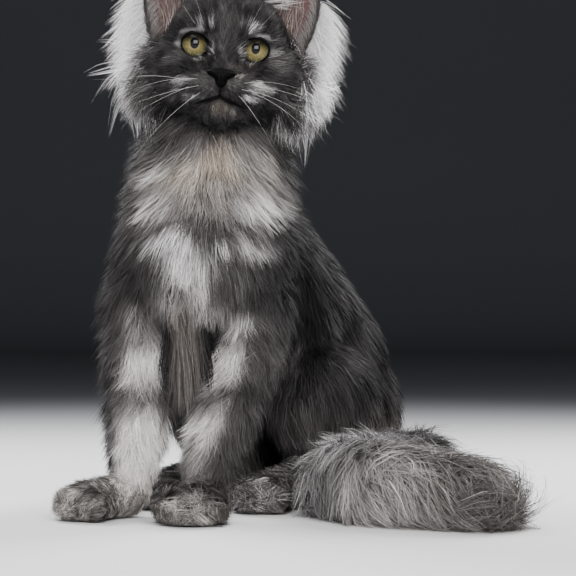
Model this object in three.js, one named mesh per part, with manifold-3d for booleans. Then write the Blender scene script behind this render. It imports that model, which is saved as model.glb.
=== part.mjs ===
// A life-size Maine Coon cat, sitting and looking at the viewer, as a still museum model.
// Millimetres, +Z up. The viewer stands at -Y and looks along +Y, so +X is the viewer's right, which is the
// cat's own left. Left and right in the names below are the cat's own.
// The flesh is a set of balls joined by smooth cones, wrapped in a skin of facets. The long coat is made of
// flat, tapered locks that follow the skin at their own height, each fused to the part that it grows from.
import * as THREE from "three";
import { mergeVertices } from "three/addons/utils/BufferGeometryUtils.js";
import Module from "manifold-3d";

const wasm = await Module();
wasm.setup();
const { Manifold, Mesh } = wasm;

// Gap that touching parts keep, and how deep a lock's root goes in.
const GAP = 0.35;
const ROOT_DEPTH = 5;

// Edges shorter than this, which cutting and fusing leave, are closed up.
const SHORTEST_EDGE = 0.04;

// The head's own frame: the point between the eyes, and how far the head leans to its left.
const BETWEEN_EYES = [19.5, -32, 344.6];
const HEAD_LEAN_DEG = 5.3;
const EYE_APART = 22.2;
const EYE_RADIUS = 10.6;
const EYE_SET_BACK = 4.2;

// Balls of flesh: x, y, z of the centre and the radius, from the head end to the tail end.
const TRUNK = [
  [17, 22, 335, 30],
  [14, 24, 300, 37],
  [10, 26, 262, 43],
  [6, 32, 222, 50],
  [26, 78, 184, 56],
  [50, 124, 146, 60],
  [74, 170, 108, 62],
  [90, 206, 60, 62],
];
const BREAST = { at: [2, 2, 192], radii: [42, 36, 58] };
const FORELEG_LEFT = [
  [36, 14, 206, 27],
  [37, 12, 152, 24],
  [33, 4, 116, 20.5],
  [19, -12, 76, 18],
  [5, -25, 38, 17],
];
const FORELEG_RIGHT = [
  [-32, 32, 206, 27],
  [-44, 30, 152, 24],
  [-45, 23, 116, 20.5],
  [-47, 13, 76, 18],
  [-50, 7, 38, 17],
];
const FOREPAW_LEFT = { heel: [3, -24, 17], toes: [-3, -54, 13] };
const FOREPAW_RIGHT = { heel: [-54, 3, 17], toes: [-82, -18, 13] };
const THIGH_LEFT = [
  [106, 190, 74, 48],
  [84, 96, 88, 35],
  [99, 124, 34, 24],
];
const THIGH_RIGHT = [
  [63, 210, 74, 48],
  [4, 130, 88, 35],
  [17, 160, 34, 24],
];
const HINDFOOT_LEFT = { heel: [92, 118, 20], toes: [45, 36, 15] };
const HINDFOOT_RIGHT = { heel: [14, 158, 20], toes: [-30, 70, 15] };
const TAIL = [
  [124, 262, 22, 22],
  [158, 234, 20, 21],
  [174, 184, 20, 21],
  [160, 124, 21, 22],
  [126, 66, 22, 23],
  [112, 10, 23, 24],
  [142, -42, 23, 24],
  [196, -76, 20, 21],
];

// Small helpers for points and numbers.
const V = (x, y, z) => new THREE.Vector3(x, y, z);
const vec = (a) => new THREE.Vector3(a[0], a[1], a[2]);
const mix = (a, b, t) => a + (b - a) * t;
const radians = THREE.MathUtils.degToRad;

// Repeatable random numbers from 0 to 1.
let seed = 20265;
function draw() {
  seed = (seed + 0x6d2b79f5) | 0;
  let t = Math.imul(seed ^ (seed >>> 15), 1 | seed);
  t = (t + Math.imul(t ^ (t >>> 7), 61 | t)) ^ t;
  return ((t ^ (t >>> 14)) >>> 0) / 4294967296;
}
const vary = (share) => 1 + (draw() * 2 - 1) * share;

// The head's frame as a matrix, and a point of the head's frame in the cat's frame.
const HEAD = new THREE.Matrix4()
  .makeRotationY(radians(HEAD_LEAN_DEG))
  .setPosition(...BETWEEN_EYES);
const headPoint = (x, y, z) => V(x, y, z).applyMatrix4(HEAD);

// Distance fields. Each is a function of a point that is negative inside the flesh.
function ball(centre, radii, matrix = new THREE.Matrix4()) {
  const inverse = matrix.clone().invert();
  const c = vec(centre);
  return (p) => {
    const q = p.clone().applyMatrix4(inverse).sub(c);
    const k0 = Math.hypot(q.x / radii[0], q.y / radii[1], q.z / radii[2]);
    const k1 = Math.hypot(q.x / radii[0] ** 2, q.y / radii[1] ** 2, q.z / radii[2] ** 2);
    return k1 < 1e-9 ? -Math.min(...radii) : (k0 * (k0 - 1)) / k1;
  };
}

function cone(from, to) {
  const a = vec(from);
  const along = vec(to).sub(a);
  const ra = from[3];
  const rb = to[3];
  const l2 = along.lengthSq();
  const rr = ra - rb;
  const a2 = l2 - rr * rr;
  return (p) => {
    const pa = p.clone().sub(a);
    const y = pa.dot(along);
    const z = y - l2;
    const x2 = pa.multiplyScalar(l2).sub(along.clone().multiplyScalar(y)).lengthSq();
    const y2 = y * y * l2;
    const z2 = z * z * l2;
    const k = Math.sign(rr) * rr * rr * x2;
    if (Math.sign(z) * a2 * z2 > k) return Math.sqrt(x2 + z2) / l2 - rb;
    if (Math.sign(y) * a2 * y2 < k) return Math.sqrt(x2 + y2) / l2 - ra;
    return (Math.sqrt((x2 * a2) / l2) + y * rr) / l2 - ra;
  };
}

function melt(fields, softness) {
  return (p) =>
    fields.reduce((best, f) => {
      const d = f(p);
      const h = Math.max(softness - Math.abs(best - d), 0) / softness;
      return Math.min(best, d) - (h * h * softness) / 4;
    }, 1e6);
}

const chain = (balls, softness = 8) =>
  melt(balls.slice(1).map((b, i) => cone(balls[i], b)), softness);

function slope(field, p) {
  const e = 0.5;
  return V(
    field(V(p.x + e, p.y, p.z)) - field(V(p.x - e, p.y, p.z)),
    field(V(p.x, p.y + e, p.z)) - field(V(p.x, p.y - e, p.z)),
    field(V(p.x, p.y, p.z + e)) - field(V(p.x, p.y, p.z - e)),
  ).normalize();
}

// Flesh of the head: skull, brow, cheeks, bridge, whisker pads, chin and jaw, in the head's frame.
const inHead = (centre, radii) => ball(centre, radii, HEAD);
const headCone = (from, to) =>
  cone([...headPoint(...from).toArray(), from[3]], [...headPoint(...to).toArray(), to[3]]);
const headField = melt(
  [
    inHead([0, 36, 8], [45, 42, 40]),
    inHead([0, 12, 16], [36, 26, 25]),
    inHead([30, 24, -18], [29, 32, 28]),
    inHead([-30, 24, -18], [29, 32, 28]),
    inHead([0, 18, -32], [34, 34, 22]),
    headCone([0, 6, 4, 13], [0, -19, -19, 9.5]),
    inHead([13.5, -11, -29.5], [17.5, 18, 12]),
    inHead([-13.5, -11, -29.5], [17.5, 18, 12]),
    inHead([0, -7, -46], [16, 16, 12]),
  ],
  9,
);

// A foot: a round cone from heel to toes, a broad ball over the pads, and four toes, the middle two ahead.
const PAW = { toeEnd: 15, toe: [9, 9, 10.5], lead: 10, setBack: 4, pad: [23, 22, 14], padHeight: 13 };
const FORE_SPREAD = 13.5;
const HIND_SPREAD = 12;
const pawField = ({ heel, toes }, heelRadius, spread) => {
  const h = vec(heel);
  const t = vec(toes);
  const ahead = t.clone().sub(h).setZ(0).normalize();
  const across = V(-ahead.y, ahead.x, 0);
  const balls = [cone([...heel, heelRadius], [...toes, PAW.toeEnd])];
  for (let i = -1.5; i < 2; i++) {
    const tip = t
      .clone()
      .addScaledVector(across, i * spread)
      .addScaledVector(ahead, PAW.lead - Math.abs(i) * PAW.setBack);
    balls.push(ball([tip.x, tip.y, PAW.toe[2]], PAW.toe));
  }
  balls.push(ball([t.x, t.y, PAW.padHeight], PAW.pad));
  return melt(balls, 4);
};

const trunkField = melt([chain(TRUNK, 20), ball(BREAST.at, BREAST.radii)], 24);
const fields = {
  trunk: trunkField,
  head: headField,
  forelegLeft: chain(FORELEG_LEFT, 10),
  forelegRight: chain(FORELEG_RIGHT, 10),
  forepawLeft: pawField(FOREPAW_LEFT, 16, FORE_SPREAD),
  forepawRight: pawField(FOREPAW_RIGHT, 16, FORE_SPREAD),
  thighLeft: chain(THIGH_LEFT, 16),
  thighRight: chain(THIGH_RIGHT, 16),
  hindfootLeft: pawField(HINDFOOT_LEFT, 18, HIND_SPREAD),
  hindfootRight: pawField(HINDFOOT_RIGHT, 18, HIND_SPREAD),
  tail: chain(TAIL, 10),
};
const wholeField = melt(Object.values(fields), 6);

// A solid from a list of points and triangles, whose faces are turned outwards.
function solid(points, triangles) {
  const g = new THREE.BufferGeometry()
    .setAttribute("position", new THREE.Float32BufferAttribute(points.flatMap((p) => p.toArray()), 3))
    .setIndex(triangles);
  const made = solidOf(g);
  return made.volume() > 0 ? made : solidOf(g.setIndex(triangles.reverse()));
}

function solidOf(geometry, reach = 1e-4) {
  const g = geometry.clone();
  g.deleteAttribute("normal");
  g.deleteAttribute("uv");
  const merged = mergeVertices(g, reach);
  const mesh = new Mesh({
    numProp: 3,
    vertProperties: new Float32Array(merged.attributes.position.array),
    triVerts: new Uint32Array(merged.index.array),
  });
  return new Manifold(mesh);
}

// Rings of points joined into a closed skin, with a single point at each end.
function joinRings(start, rings, end) {
  const sides = rings[0].length;
  const points = [start, ...rings.flat(), end];
  const last = points.length - 1;
  const at = (r, i) => 1 + r * sides + (i % sides);
  const triangles = [];
  for (let i = 0; i < sides; i++) {
    triangles.push(0, at(0, i + 1), at(0, i));
    triangles.push(last, at(rings.length - 1, i), at(rings.length - 1, i + 1));
    for (let r = 0; r + 1 < rings.length; r++) {
      triangles.push(at(r, i), at(r, i + 1), at(r + 1, i + 1), at(r, i), at(r + 1, i + 1), at(r + 1, i));
    }
  }
  return solid(points, triangles);
}

// The point where a ray from inside leaves the flesh at a height over it.
function leave(field, from, towards, level) {
  let t = 0;
  for (let i = 0; i < 90; i++) {
    const d = field(from.clone().addScaledVector(towards, t)) - level;
    if (d > -0.005) break;
    t += Math.max(-d * 0.9, 0.004);
  }
  return from.clone().addScaledVector(towards, t);
}

// A frame that moves along a bone: its point, its direction, and two directions across it.
function boneFrame(bone, s, front) {
  const curve = new THREE.CatmullRomCurve3(bone.map(vec), false, "centripetal");
  const t = THREE.MathUtils.clamp(s, 0, 1);
  const at = curve.getPoint(t);
  const along = curve.getTangent(t);
  const ahead = front.clone().addScaledVector(along, -front.dot(along)).normalize();
  return { at, along, ahead, aside: along.clone().cross(ahead) };
}

// Flesh wrapped in facets: rings of rays from a bone, and rings over each end that close to one point.
const skinPoint = (field, from, ray, margin) => {
  const p = leave(field, from, ray, 0);
  return margin ? p.addScaledVector(slope(field, p), margin * 1.25) : p;
};
function wrap(field, bone, front, { rings, capRings, sides, margin = 0 }) {
  const made = [];
  const ringOf = (frame, tip, angle) => {
    const ring = [];
    for (let i = 0; i < sides; i++) {
      const a = (i / sides) * 2 * Math.PI;
      const out = frame.ahead.clone().multiplyScalar(Math.cos(a)).addScaledVector(frame.aside, Math.sin(a));
      const ray = out.multiplyScalar(Math.sin(angle)).addScaledVector(frame.along, tip * Math.cos(angle));
      ring.push(skinPoint(field, frame.at, ray, margin));
    }
    return ring;
  };
  const first = boneFrame(bone, 0, front);
  const last = boneFrame(bone, 1, front);
  for (let j = 1; j <= capRings; j++) made.push(ringOf(first, -1, (j / capRings) * (Math.PI / 2)));
  for (let j = 1; j < rings; j++) made.push(ringOf(boneFrame(bone, j / rings, front), 1, Math.PI / 2));
  for (let j = capRings; j >= 1; j--) made.push(ringOf(last, 1, (j / capRings) * (Math.PI / 2)));
  return joinRings(
    skinPoint(field, first.at, first.along.clone().negate(), margin),
    made,
    skinPoint(field, last.at, last.along, margin),
  );
}

// Facets of each core: rings along the bone, rings over an end, and sides round it.
const FACETS = {
  trunk: { rings: 18, capRings: 3, sides: 16 },
  head: { rings: 3, capRings: 9, sides: 24 },
  foreleg: { rings: 8, capRings: 2, sides: 10 },
  paw: { rings: 3, capRings: 4, sides: 12 },
  thigh: { rings: 4, capRings: 4, sides: 14 },
  tail: { rings: 12, capRings: 3, sides: 9 },
};
const TOWARDS_VIEWER = V(0, -1, 0);
const UPWARDS = V(0, 0, 1);

// How much of the frame before it a lock's frame keeps, and the least that a lock may still face the way
// its root does: past that it would climb over another part.
const FRAME_LAG = 0.45;
const LEAST_TURN = 0.35;

// Steps along a lock, its width at each as a share of its widest, the power by which it rises to its lift,
// its height over the flesh, and the least height of its line over the floor.
const STEPS = 3;
const LOCK_WIDTHS = [0.8, 1, 0.62];
const RISE = 1.3;
const BED = 3;
const OVER_FLOOR = 3;

// A lock's line and its frames, from a root on the coat. It keeps its own height over all the flesh, rises to
// its lift at the tip, sags, and never passes the floor.
function lockLine({ root, lie, length, lift, sag = 0, bed = BED }) {
  const line = [];
  let p = root.clone();
  let way = lie.clone().normalize();
  for (let i = 0; i <= STEPS; i++) {
    const height = i === 0 ? -ROOT_DEPTH : bed + lift * (i / STEPS) ** RISE;
    for (let k = 0; k < 2; k++) p.addScaledVector(slope(wholeField, p), height - wholeField(p));
    p.z = Math.max(p.z, OVER_FLOOR);
    const out = slope(wholeField, p);
    if (i > 0) out.lerp(line[i - 1].out, FRAME_LAG).normalize();
    way.z -= sag;
    way.addScaledVector(out, -way.dot(out)).normalize();
    line.push({ p: p.clone(), out });
    p = p.clone().addScaledVector(way, length / STEPS);
  }
  return line;
}

// A flat, tapered lock with a ridge along its top, as a solid grown by a margin on every side.
function lockSolid({ line, width, thick }, margin) {
  const rings = [];
  const outward = line.reduce((sum, { out }) => sum.add(out), V(0, 0, 0));
  const side = line[STEPS].p.clone().sub(line[0].p).cross(outward).normalize();
  for (let i = 0; i < STEPS; i++) {
    const along = line[i + 1].p.clone().sub(line[Math.max(i - 1, 0)].p).normalize();
    const up = side.clone().cross(along).normalize();
    const w = width * LOCK_WIDTHS[i];
    const t = thick * (1 - (0.4 * i) / STEPS);
    const reach = w + (1.4 * margin * w) / (1.4 * t + margin);
    const low = line[i].p.clone().addScaledVector(up, -t * 0.4 - margin);
    rings.push([
      low.clone().addScaledVector(side, -reach),
      low.clone().addScaledVector(side, reach),
      line[i].p.clone().addScaledVector(up, t + margin * 1.4),
    ]);
  }
  const first = rings[0].reduce((a, b) => a.add(b), V(0, 0, 0)).multiplyScalar(1 / 3);
  const end = line[STEPS].p.clone();
  end.addScaledVector(end.clone().sub(line[STEPS - 1].p).normalize(), margin * 2);
  return joinRings(first, rings, end);
}

// A tier of locks round a bone, between two angles from the front, rooted on the given flesh. A root that lies
// deep in another part grows no lock.
const BURIED = -4;
function tier({ field, bone, front = TOWARDS_VIEWER, at, from, to, count, lie, ...look }) {
  const frame = boneFrame(bone, at, front);
  const locks = [];
  for (let i = 0; i < count; i++) {
    const a = radians(mix(from, to, (i + 0.5 + (draw() - 0.5) * 0.35) / count));
    const out = frame.ahead.clone().multiplyScalar(Math.cos(a)).addScaledVector(frame.aside, Math.sin(a));
    const root = leave(field, frame.at, out, 0);
    const long = look.length * vary(0.14);
    const lift = look.lift * vary(0.2);
    const bed = BED + (i % 2) * look.thick;
    const way = lie(root, frame, out).clone().addScaledVector(frame.aside, (draw() - 0.5) * 0.24);
    if (wholeField(root) < BURIED) continue;
    const line = lockLine({ root, ...look, lie: way, length: long, lift, bed });
    const width = look.width * vary(0.12);
    const faces = line.every((q) => q.out.dot(line[0].out) > LEAST_TURN);
    if (faces) locks.push({ line, width, thick: look.thick });
  }
  return locks;
}

// A part's solid: its core and its locks, grown by a margin and kept above the floor.
function grownPart(part, margin) {
  const pieces = [part.core(margin), ...(part.locks ?? []).map((l) => lockSolid(l, margin))];
  return Manifold.union(pieces).trimByPlane([0, 0, 1], margin > 0 ? -1 : 0);
}

const largest = (body) =>
  body.decompose().reduce((a, b) => (b.volume() > a.volume() ? b : a));

function geometryOf(body) {
  const made = body.getMesh();
  return new THREE.BufferGeometry()
    .setAttribute("position", new THREE.BufferAttribute(made.vertProperties, 3))
    .setIndex(new THREE.BufferAttribute(made.triVerts, 1));
}

// Points that all but touch become one: each short edge whose two ends share only the two triangles beside
// it shrinks to a point.
function weld(body) {
  const { vertProperties: xyz, triVerts } = body.getMesh();
  const three = (_, i) => [...triVerts.subarray(3 * i, 3 * i + 3)];
  let triangles = Array.from({ length: triVerts.length / 3 }, three);
  const point = (i) => V(xyz[3 * i], xyz[3 * i + 1], xyz[3 * i + 2]);
  for (let found = true; found; ) {
    found = false;
    const beside = new Map();
    for (const t of triangles) for (const v of t) beside.set(v, [...(beside.get(v) ?? []), ...t]);
    const shrunk = new Map();
    const touched = new Set();
    for (const t of triangles) {
      for (let k = 0; k < 3; k++) {
        const [a, b] = [t[k], t[(k + 1) % 3]];
        if (a > b || point(a).distanceTo(point(b)) > SHORTEST_EDGE) continue;
        const nearA = new Set(beside.get(a));
        const shared = [...new Set(beside.get(b))].filter((v) => v !== a && v !== b && nearA.has(v));
        const all = [...nearA, ...beside.get(b)];
        if (shared.length !== 2 || all.some((v) => touched.has(v))) continue;
        all.forEach((v) => touched.add(v));
        shrunk.set(b, a);
        found = true;
      }
    }
    triangles = triangles
      .map((t) => t.map((v) => shrunk.get(v) ?? v))
      .filter(([a, b, c]) => a !== b && b !== c && c !== a);
  }
  const used = [...new Set(triangles.flat())];
  const place = new Map(used.map((v, i) => [v, i]));
  return solid(used.map(point), triangles.flat().map((v) => place.get(v)));
}

// The largest closed surface, and the same once its short edges are gone.
const settled = (body) => largest(weld(largest(body)));

// Lies of the coat: down the flesh, back along a bone, or outwards, in mixed shares.
const lying = (alongBone, down, outward = 0) => (root, frame, out) =>
  frame.along.clone().multiplyScalar(alongBone).addScaledVector(out, outward).add(V(0, 0, -down));

// Neck and body: one wrapped form, parted by planes across the bone.
const NECK_END = 0.37;
const CHEST_END = 0.62;
const WAIST_END = 0.82;
function trunkBetween(from, to) {
  return (margin) => {
    let body = wrap(fields.trunk, TRUNK, TOWARDS_VIEWER, { ...FACETS.trunk, margin });
    const cut = (s, sign, gap) => {
      const f = boneFrame(TRUNK, s, TOWARDS_VIEWER);
      const n = f.along.clone().multiplyScalar(sign);
      body = body.trimByPlane(n.toArray(), n.dot(f.at) + gap);
    };
    if (from !== null) cut(from, 1, GAP / 2 - margin);
    if (to !== null) cut(to, -1, GAP / 2 - margin);
    return body;
  };
}
const trunkTier = (at, count, look, from = -180, to = 180) =>
  tier({ field: fields.trunk, bone: TRUNK, at, from, to, count, ...look });

const NAPE = { length: 50, width: 12, thick: 2.6, lift: 8, lie: lying(1, 0.6) };
const RUFF = { length: 48, width: 12.5, thick: 3, lift: 13, lie: lying(0.9, 0.5) };
const BIB = { length: 44, width: 12, thick: 3, lift: 10, lie: lying(0.8, 0.6) };
const BACK_COAT = { length: 50, width: 17, thick: 2.6, lift: 6, lie: lying(1, 0.35) };
const FLANK_COAT = { length: 50, width: 16, thick: 2.6, lift: 7, lie: lying(0.8, 0.7) };

// Head: the flesh less the eyes and the mouth's line, with lids and cheek ruffs.
const HEAD_BONE = [headPoint(0, 42, 4), headPoint(0, 2, -12)].map((p) => p.toArray());
const headCore = (margin) => wrap(fields.head, HEAD_BONE, UPWARDS, { ...FACETS.head, margin });

const eyeCentre = (side) => headPoint(side * EYE_APART, EYE_SET_BACK, 0);
function eyeball(side, margin) {
  const g = new THREE.SphereGeometry(EYE_RADIUS + margin, 14, 8);
  g.rotateX(Math.PI / 2);
  g.translate(...eyeCentre(side).toArray());
  return solidOf(g);
}

// Lids: the opening is an oval that rises to its outer corner, with a rounded rim that lies on the eye.
const LID = { halfWidth: 9.6, halfHeight: 8.7, slant: 15, thick: 2.1, turns: 12, sides: 5, reach: 0.9 };
function lidEdge(side, i) {
  const a = (i / LID.turns) * 2 * Math.PI;
  const tilt = radians(LID.slant) * side;
  const x = Math.cos(a) * LID.halfWidth;
  const z = Math.sin(a) * LID.halfHeight * (1 - 0.14 * Math.abs(Math.cos(a)));
  return V(x * Math.cos(tilt) - z * Math.sin(tilt), 0, x * Math.sin(tilt) + z * Math.cos(tilt));
}
const fromEye = (side, q) => headPoint(q.x + side * EYE_APART, q.y + EYE_SET_BACK, q.z);
function eyeOpening(side) {
  const ringAt = (y, spread) => {
    const point = (_, i) => fromEye(side, lidEdge(side, i).multiplyScalar(spread).setY(y));
    return Array.from({ length: LID.turns }, point);
  };
  const rings = [ringAt(0, 0.9), ringAt(-30, 1.25)];
  return joinRings(fromEye(side, V(0, 0, 0)), rings, fromEye(side, V(0, -30, 0)));
}
function lidRim(side) {
  const rings = [];
  for (let i = 0; i < LID.turns; i++) {
    const edge = lidEdge(side, i);
    const depth = Math.sqrt((EYE_RADIUS + LID.reach) ** 2 - edge.lengthSq());
    const outward = edge.clone().normalize();
    const middle = edge.setY(-depth);
    const ring = [];
    for (let j = 0; j < LID.sides; j++) {
      const b = (j / LID.sides) * 2 * Math.PI;
      const q = middle
        .clone()
        .addScaledVector(outward, Math.cos(b) * LID.thick)
        .add(V(0, Math.sin(b) * LID.thick, 0));
      ring.push(fromEye(side, q));
    }
    rings.push(ring);
  }
  return closedLoop(rings);
}

// A ring of rings: a closed tube such as a rim.
function closedLoop(rings) {
  const sides = rings[0].length;
  const triangles = [];
  const at = (r, i) => (r % rings.length) * sides + (i % sides);
  for (let r = 0; r < rings.length; r++) {
    for (let i = 0; i < sides; i++) {
      triangles.push(at(r, i), at(r, i + 1), at(r + 1, i + 1), at(r, i), at(r + 1, i + 1), at(r + 1, i));
    }
  }
  return solid(rings.flat(), triangles);
}

// A thin round rod along points, closed at both ends, used to cut the mouth's line and the nostrils.
function rod(points, radius) {
  const last = points.length - 1;
  const rings = points.map((p, i) => {
    const along = points[Math.min(i + 1, last)].clone().sub(points[Math.max(i - 1, 0)]).normalize();
    const side = along.clone().cross(V(0, 1, 0)).normalize();
    const up = side.clone().cross(along);
    const r = i === 0 || i === last ? radius * 0.5 : radius;
    return [0, 1, 2, 3, 4].map((k) => {
      const a = (k / 5) * 2 * Math.PI;
      return p.clone().addScaledVector(side, r * Math.cos(a)).addScaledVector(up, r * Math.sin(a));
    });
  });
  return joinRings(points[0], rings, points[last]);
}

// Points of the mouth on the face: down from the nose, then out and down along each lip.
const MOUTH = { top: -31, middle: -37, corner: [17, -43.5], width: 1.3 };
const onFace = (x, z, sink = 0.4) => {
  return leave(fields.head, headPoint(x, 6, z), V(0, -1, 0), 0).addScaledVector(V(0, 1, 0), sink);
};
function mouthCuts() {
  const fall = [MOUTH.top, mix(MOUTH.top, MOUTH.middle, 0.5), MOUTH.middle];
  const cuts = [rod(fall.map((z) => onFace(0, z)), MOUTH.width * 0.7)];
  for (const side of [-1, 1]) {
    const lip = [0, 0.25, 0.5, 0.75, 1].map((t) =>
      onFace(side * MOUTH.corner[0] * t, mix(MOUTH.middle, MOUTH.corner[1], t ** 0.8)),
    );
    cuts.push(rod(lip, MOUTH.width));
  }
  return cuts;
}

// Nose leather: a small wedge wider at its top, with a nostril cut into each side.
const NOSE = { halfWidth: 11.5, top: -19, bottom: -31, back: -17, front: -33.5 };
function noseLeather(margin) {
  const g = new THREE.SphereGeometry(1, 10, 7);
  const at = g.attributes.position;
  for (let i = 0; i < at.count; i++) {
    const z = at.getZ(i);
    const narrow = mix(0.34, 1, THREE.MathUtils.smoothstep(z, -1, 0.6));
    const x = at.getX(i) * (NOSE.halfWidth + margin) * narrow;
    const y = mix(NOSE.back, NOSE.front, 0.5) + (at.getY(i) * (NOSE.back - NOSE.front)) / 2;
    const up = mix(NOSE.bottom - margin, NOSE.top + margin, (z + 1) / 2);
    const p = headPoint(x, y + (at.getY(i) < 0 ? -margin : 0) + (1 + z) * 1.2, up);
    at.setXYZ(i, p.x, p.y, p.z);
  }
  return solidOf(g);
}
function nostril(side) {
  const line = [
    [6, -36, -25.6],
    [5.6, -31, -24.8],
    [4, -26, -25.2],
  ].map(([x, y, z]) => headPoint(side * x, y, z));
  return rod(line, 1.7);
}

// An ear: a cup of even thickness from the outer and inner corners of its base to its tip.
const EAR = {
  outer: [57, 36, 6],
  inner: [15, 34, 47],
  tip: [57, 48, 92],
  cup: 18,
  thick: 2.6,
  across: 6,
  up: 6,
  sunk: -0.3,
};
function earSheet(side, u, v, depth) {
  const outer = V(EAR.outer[0] * side, EAR.outer[1], EAR.outer[2]);
  const inner = V(EAR.inner[0] * side, EAR.inner[1], EAR.inner[2]);
  const tip = V(EAR.tip[0] * side, EAR.tip[1], EAR.tip[2]);
  const middle = outer.clone().add(inner).multiplyScalar(0.5);
  const half = outer.clone().sub(inner).multiplyScalar(0.5);
  const rise = tip.clone().sub(middle);
  const back = V(0, 1, 0).addScaledVector(half.clone().normalize(), 0.12).normalize();
  const w = v < 0 ? 1 : (1 - v) ** 0.6 * (1 + 0.24 * Math.sin(Math.PI * v));
  const cup = EAR.cup * (v < 0 ? 1 : (1 - v) ** 0.7);
  const p = middle
    .addScaledVector(rise, v)
    .addScaledVector(half, u * w)
    .addScaledVector(back, cup * (1 - u * u) + depth * (1 - 0.35 * Math.max(v, 0)));
  return headPoint(p.x, p.y, p.z);
}
function earCore(side) {
  return (margin) => {
    const rows = [];
    for (let j = 0; j <= EAR.up; j++) {
      const v = mix(EAR.sunk, 0.97, j / EAR.up);
      const across = Array.from({ length: EAR.across + 1 }, (_, i) => mix(-1, 1, i / EAR.across));
      const inside = across.map((u) => earSheet(side, u, v, -margin));
      const outside = across.map((u) => earSheet(side, u, v, EAR.thick + margin));
      rows.push([...inside, ...outside.reverse()]);
    }
    const centre = (ring) => ring.reduce((a, b) => a.add(b), V(0, 0, 0)).multiplyScalar(1 / ring.length);
    const top = earSheet(side, 0, 1, EAR.thick / 2);
    return joinRings(centre(rows[0]), rows, top);
  };
}

// Hair inside an ear and the tuft on its tip: locks that start on the cup and lie in given directions.
function straightLock(root, way, length, { width, thick }) {
  const line = [];
  for (let i = 0; i <= STEPS; i++) {
    const p = root.clone().addScaledVector(way, (i / STEPS - 0.08) * length);
    line.push({ p, out: TOWARDS_VIEWER });
  }
  return { line, width, thick };
}
const EAR_HAIR = { count: 4, length: 36, width: 4, thick: 1.5 };
const EAR_TUFT = { count: 2, length: 24, width: 3.4, thick: 1.8 };
function earLocks(side) {
  const locks = [];
  const out = V(side, 0, 0);
  for (let i = 0; i < EAR_HAIR.count; i++) {
    const v = mix(0.04, 0.5, i / (EAR_HAIR.count - 1));
    const root = earSheet(side, -0.86, v, EAR.thick * 0.5);
    const way = out.clone().multiplyScalar(0.8).add(V(0, -0.42, mix(0.2, 0.75, v * 2))).normalize();
    locks.push(straightLock(root, way, EAR_HAIR.length * (1 - 0.35 * v) * vary(0.1), EAR_HAIR));
  }
  for (let i = 0; i < EAR_TUFT.count; i++) {
    const root = earSheet(side, 0, 0.9, EAR.thick * 0.5);
    const way = V(side * mix(0.1, 0.5, i), -0.05, 1).normalize();
    locks.push(straightLock(root, way, EAR_TUFT.length * (1 - 0.2 * i), EAR_TUFT));
  }
  return locks;
}

// Cheek ruffs: long locks that start behind the ear and down the side of the jaw and stream out and down.
const CHEEK = { rows: 2, count: 5, length: 56, width: 10, thick: 2.4, lift: 29, sag: 0.1 };
function cheekRuff(side) {
  const locks = [];
  for (let row = 0; row < CHEEK.rows; row++) {
    for (let i = 0; i < CHEEK.count; i++) {
      const t = (i + 0.5 + (draw() - 0.5) * 0.3 + (row % 2) * 0.4) / CHEEK.count;
      const aim = V(side, 0, 0).applyAxisAngle(V(0, side, 0), radians(mix(-38, 58, t)));
      const from = headPoint(0, mix(30, 52, row), -2);
      const root = leave(fields.head, from, aim, 0);
      const lie = V(side * mix(0.7, 0.35, t), mix(0.25, 0.5, row), -mix(0.5, 1.1, t));
      const length = CHEEK.length * vary(0.16);
      const lift = CHEEK.lift * mix(1.1, 0.6, row) * vary(0.15);
      const line = lockLine({ ...CHEEK, root, lie, length, lift });
      locks.push({ line, width: CHEEK.width * vary(0.12), thick: CHEEK.thick });
    }
  }
  return locks;
}

// Short shaggy locks under the jaw, which join the head to the ruff.
const JAW_FRINGE = { count: 5, length: 28, width: 9, thick: 2.2, lift: 6 };
function jawFringe() {
  const locks = [];
  for (let i = 0; i < JAW_FRINGE.count; i++) {
    const a = mix(-62, 62, i / (JAW_FRINGE.count - 1));
    const aim = V(Math.sin(radians(a)), -Math.cos(radians(a)) * 0.75, -0.62).normalize();
    const root = leave(fields.head, headPoint(0, 22, -24), aim, 0);
    const lie = V(Math.sin(radians(a)) * 0.5, 0.1, -1);
    const line = lockLine({ ...JAW_FRINGE, root, lie, length: JAW_FRINGE.length * vary(0.12) });
    locks.push({ line, width: JAW_FRINGE.width, thick: JAW_FRINGE.thick });
  }
  return locks;
}

// Legs, thighs and feet. The coat is long behind the elbows, on the thighs and between the toes.
const ELBOW = { length: 38, width: 9, thick: 2.4, lift: 10, lie: lying(0.7, 0.5, 0.3) };
const THIGH_COAT = { length: 48, width: 14, thick: 2.6, lift: 7, lie: lying(0.1, 0.9) };
const TOE_TUFT = { length: 15, width: 4, thick: 1.8, lift: 2 };

const legCore = (field, bone, form) => (margin) =>
  wrap(field, bone, TOWARDS_VIEWER, { ...form, margin });

const forelegLocks = (field, bone) =>
  [0.3, 0.48, 0.66].flatMap((at) => tier({ field, bone, at, from: 70, to: 290, count: 4, ...ELBOW }));

// Rows over the thigh: the place along its upper bone, the spread each way from the top, and the locks in it.
const THIGH_ROWS = [
  [0.15, 120, 5],
  [0.6, 120, 5],
  [1, 100, 4],
];
function thighLocks(field, bone) {
  const upper = { field, bone: bone.slice(0, 2), front: UPWARDS };
  return THIGH_ROWS.flatMap(([at, spread, count]) =>
    tier({ ...upper, at, from: -spread, to: spread, count, ...THIGH_COAT }),
  );
}

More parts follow.
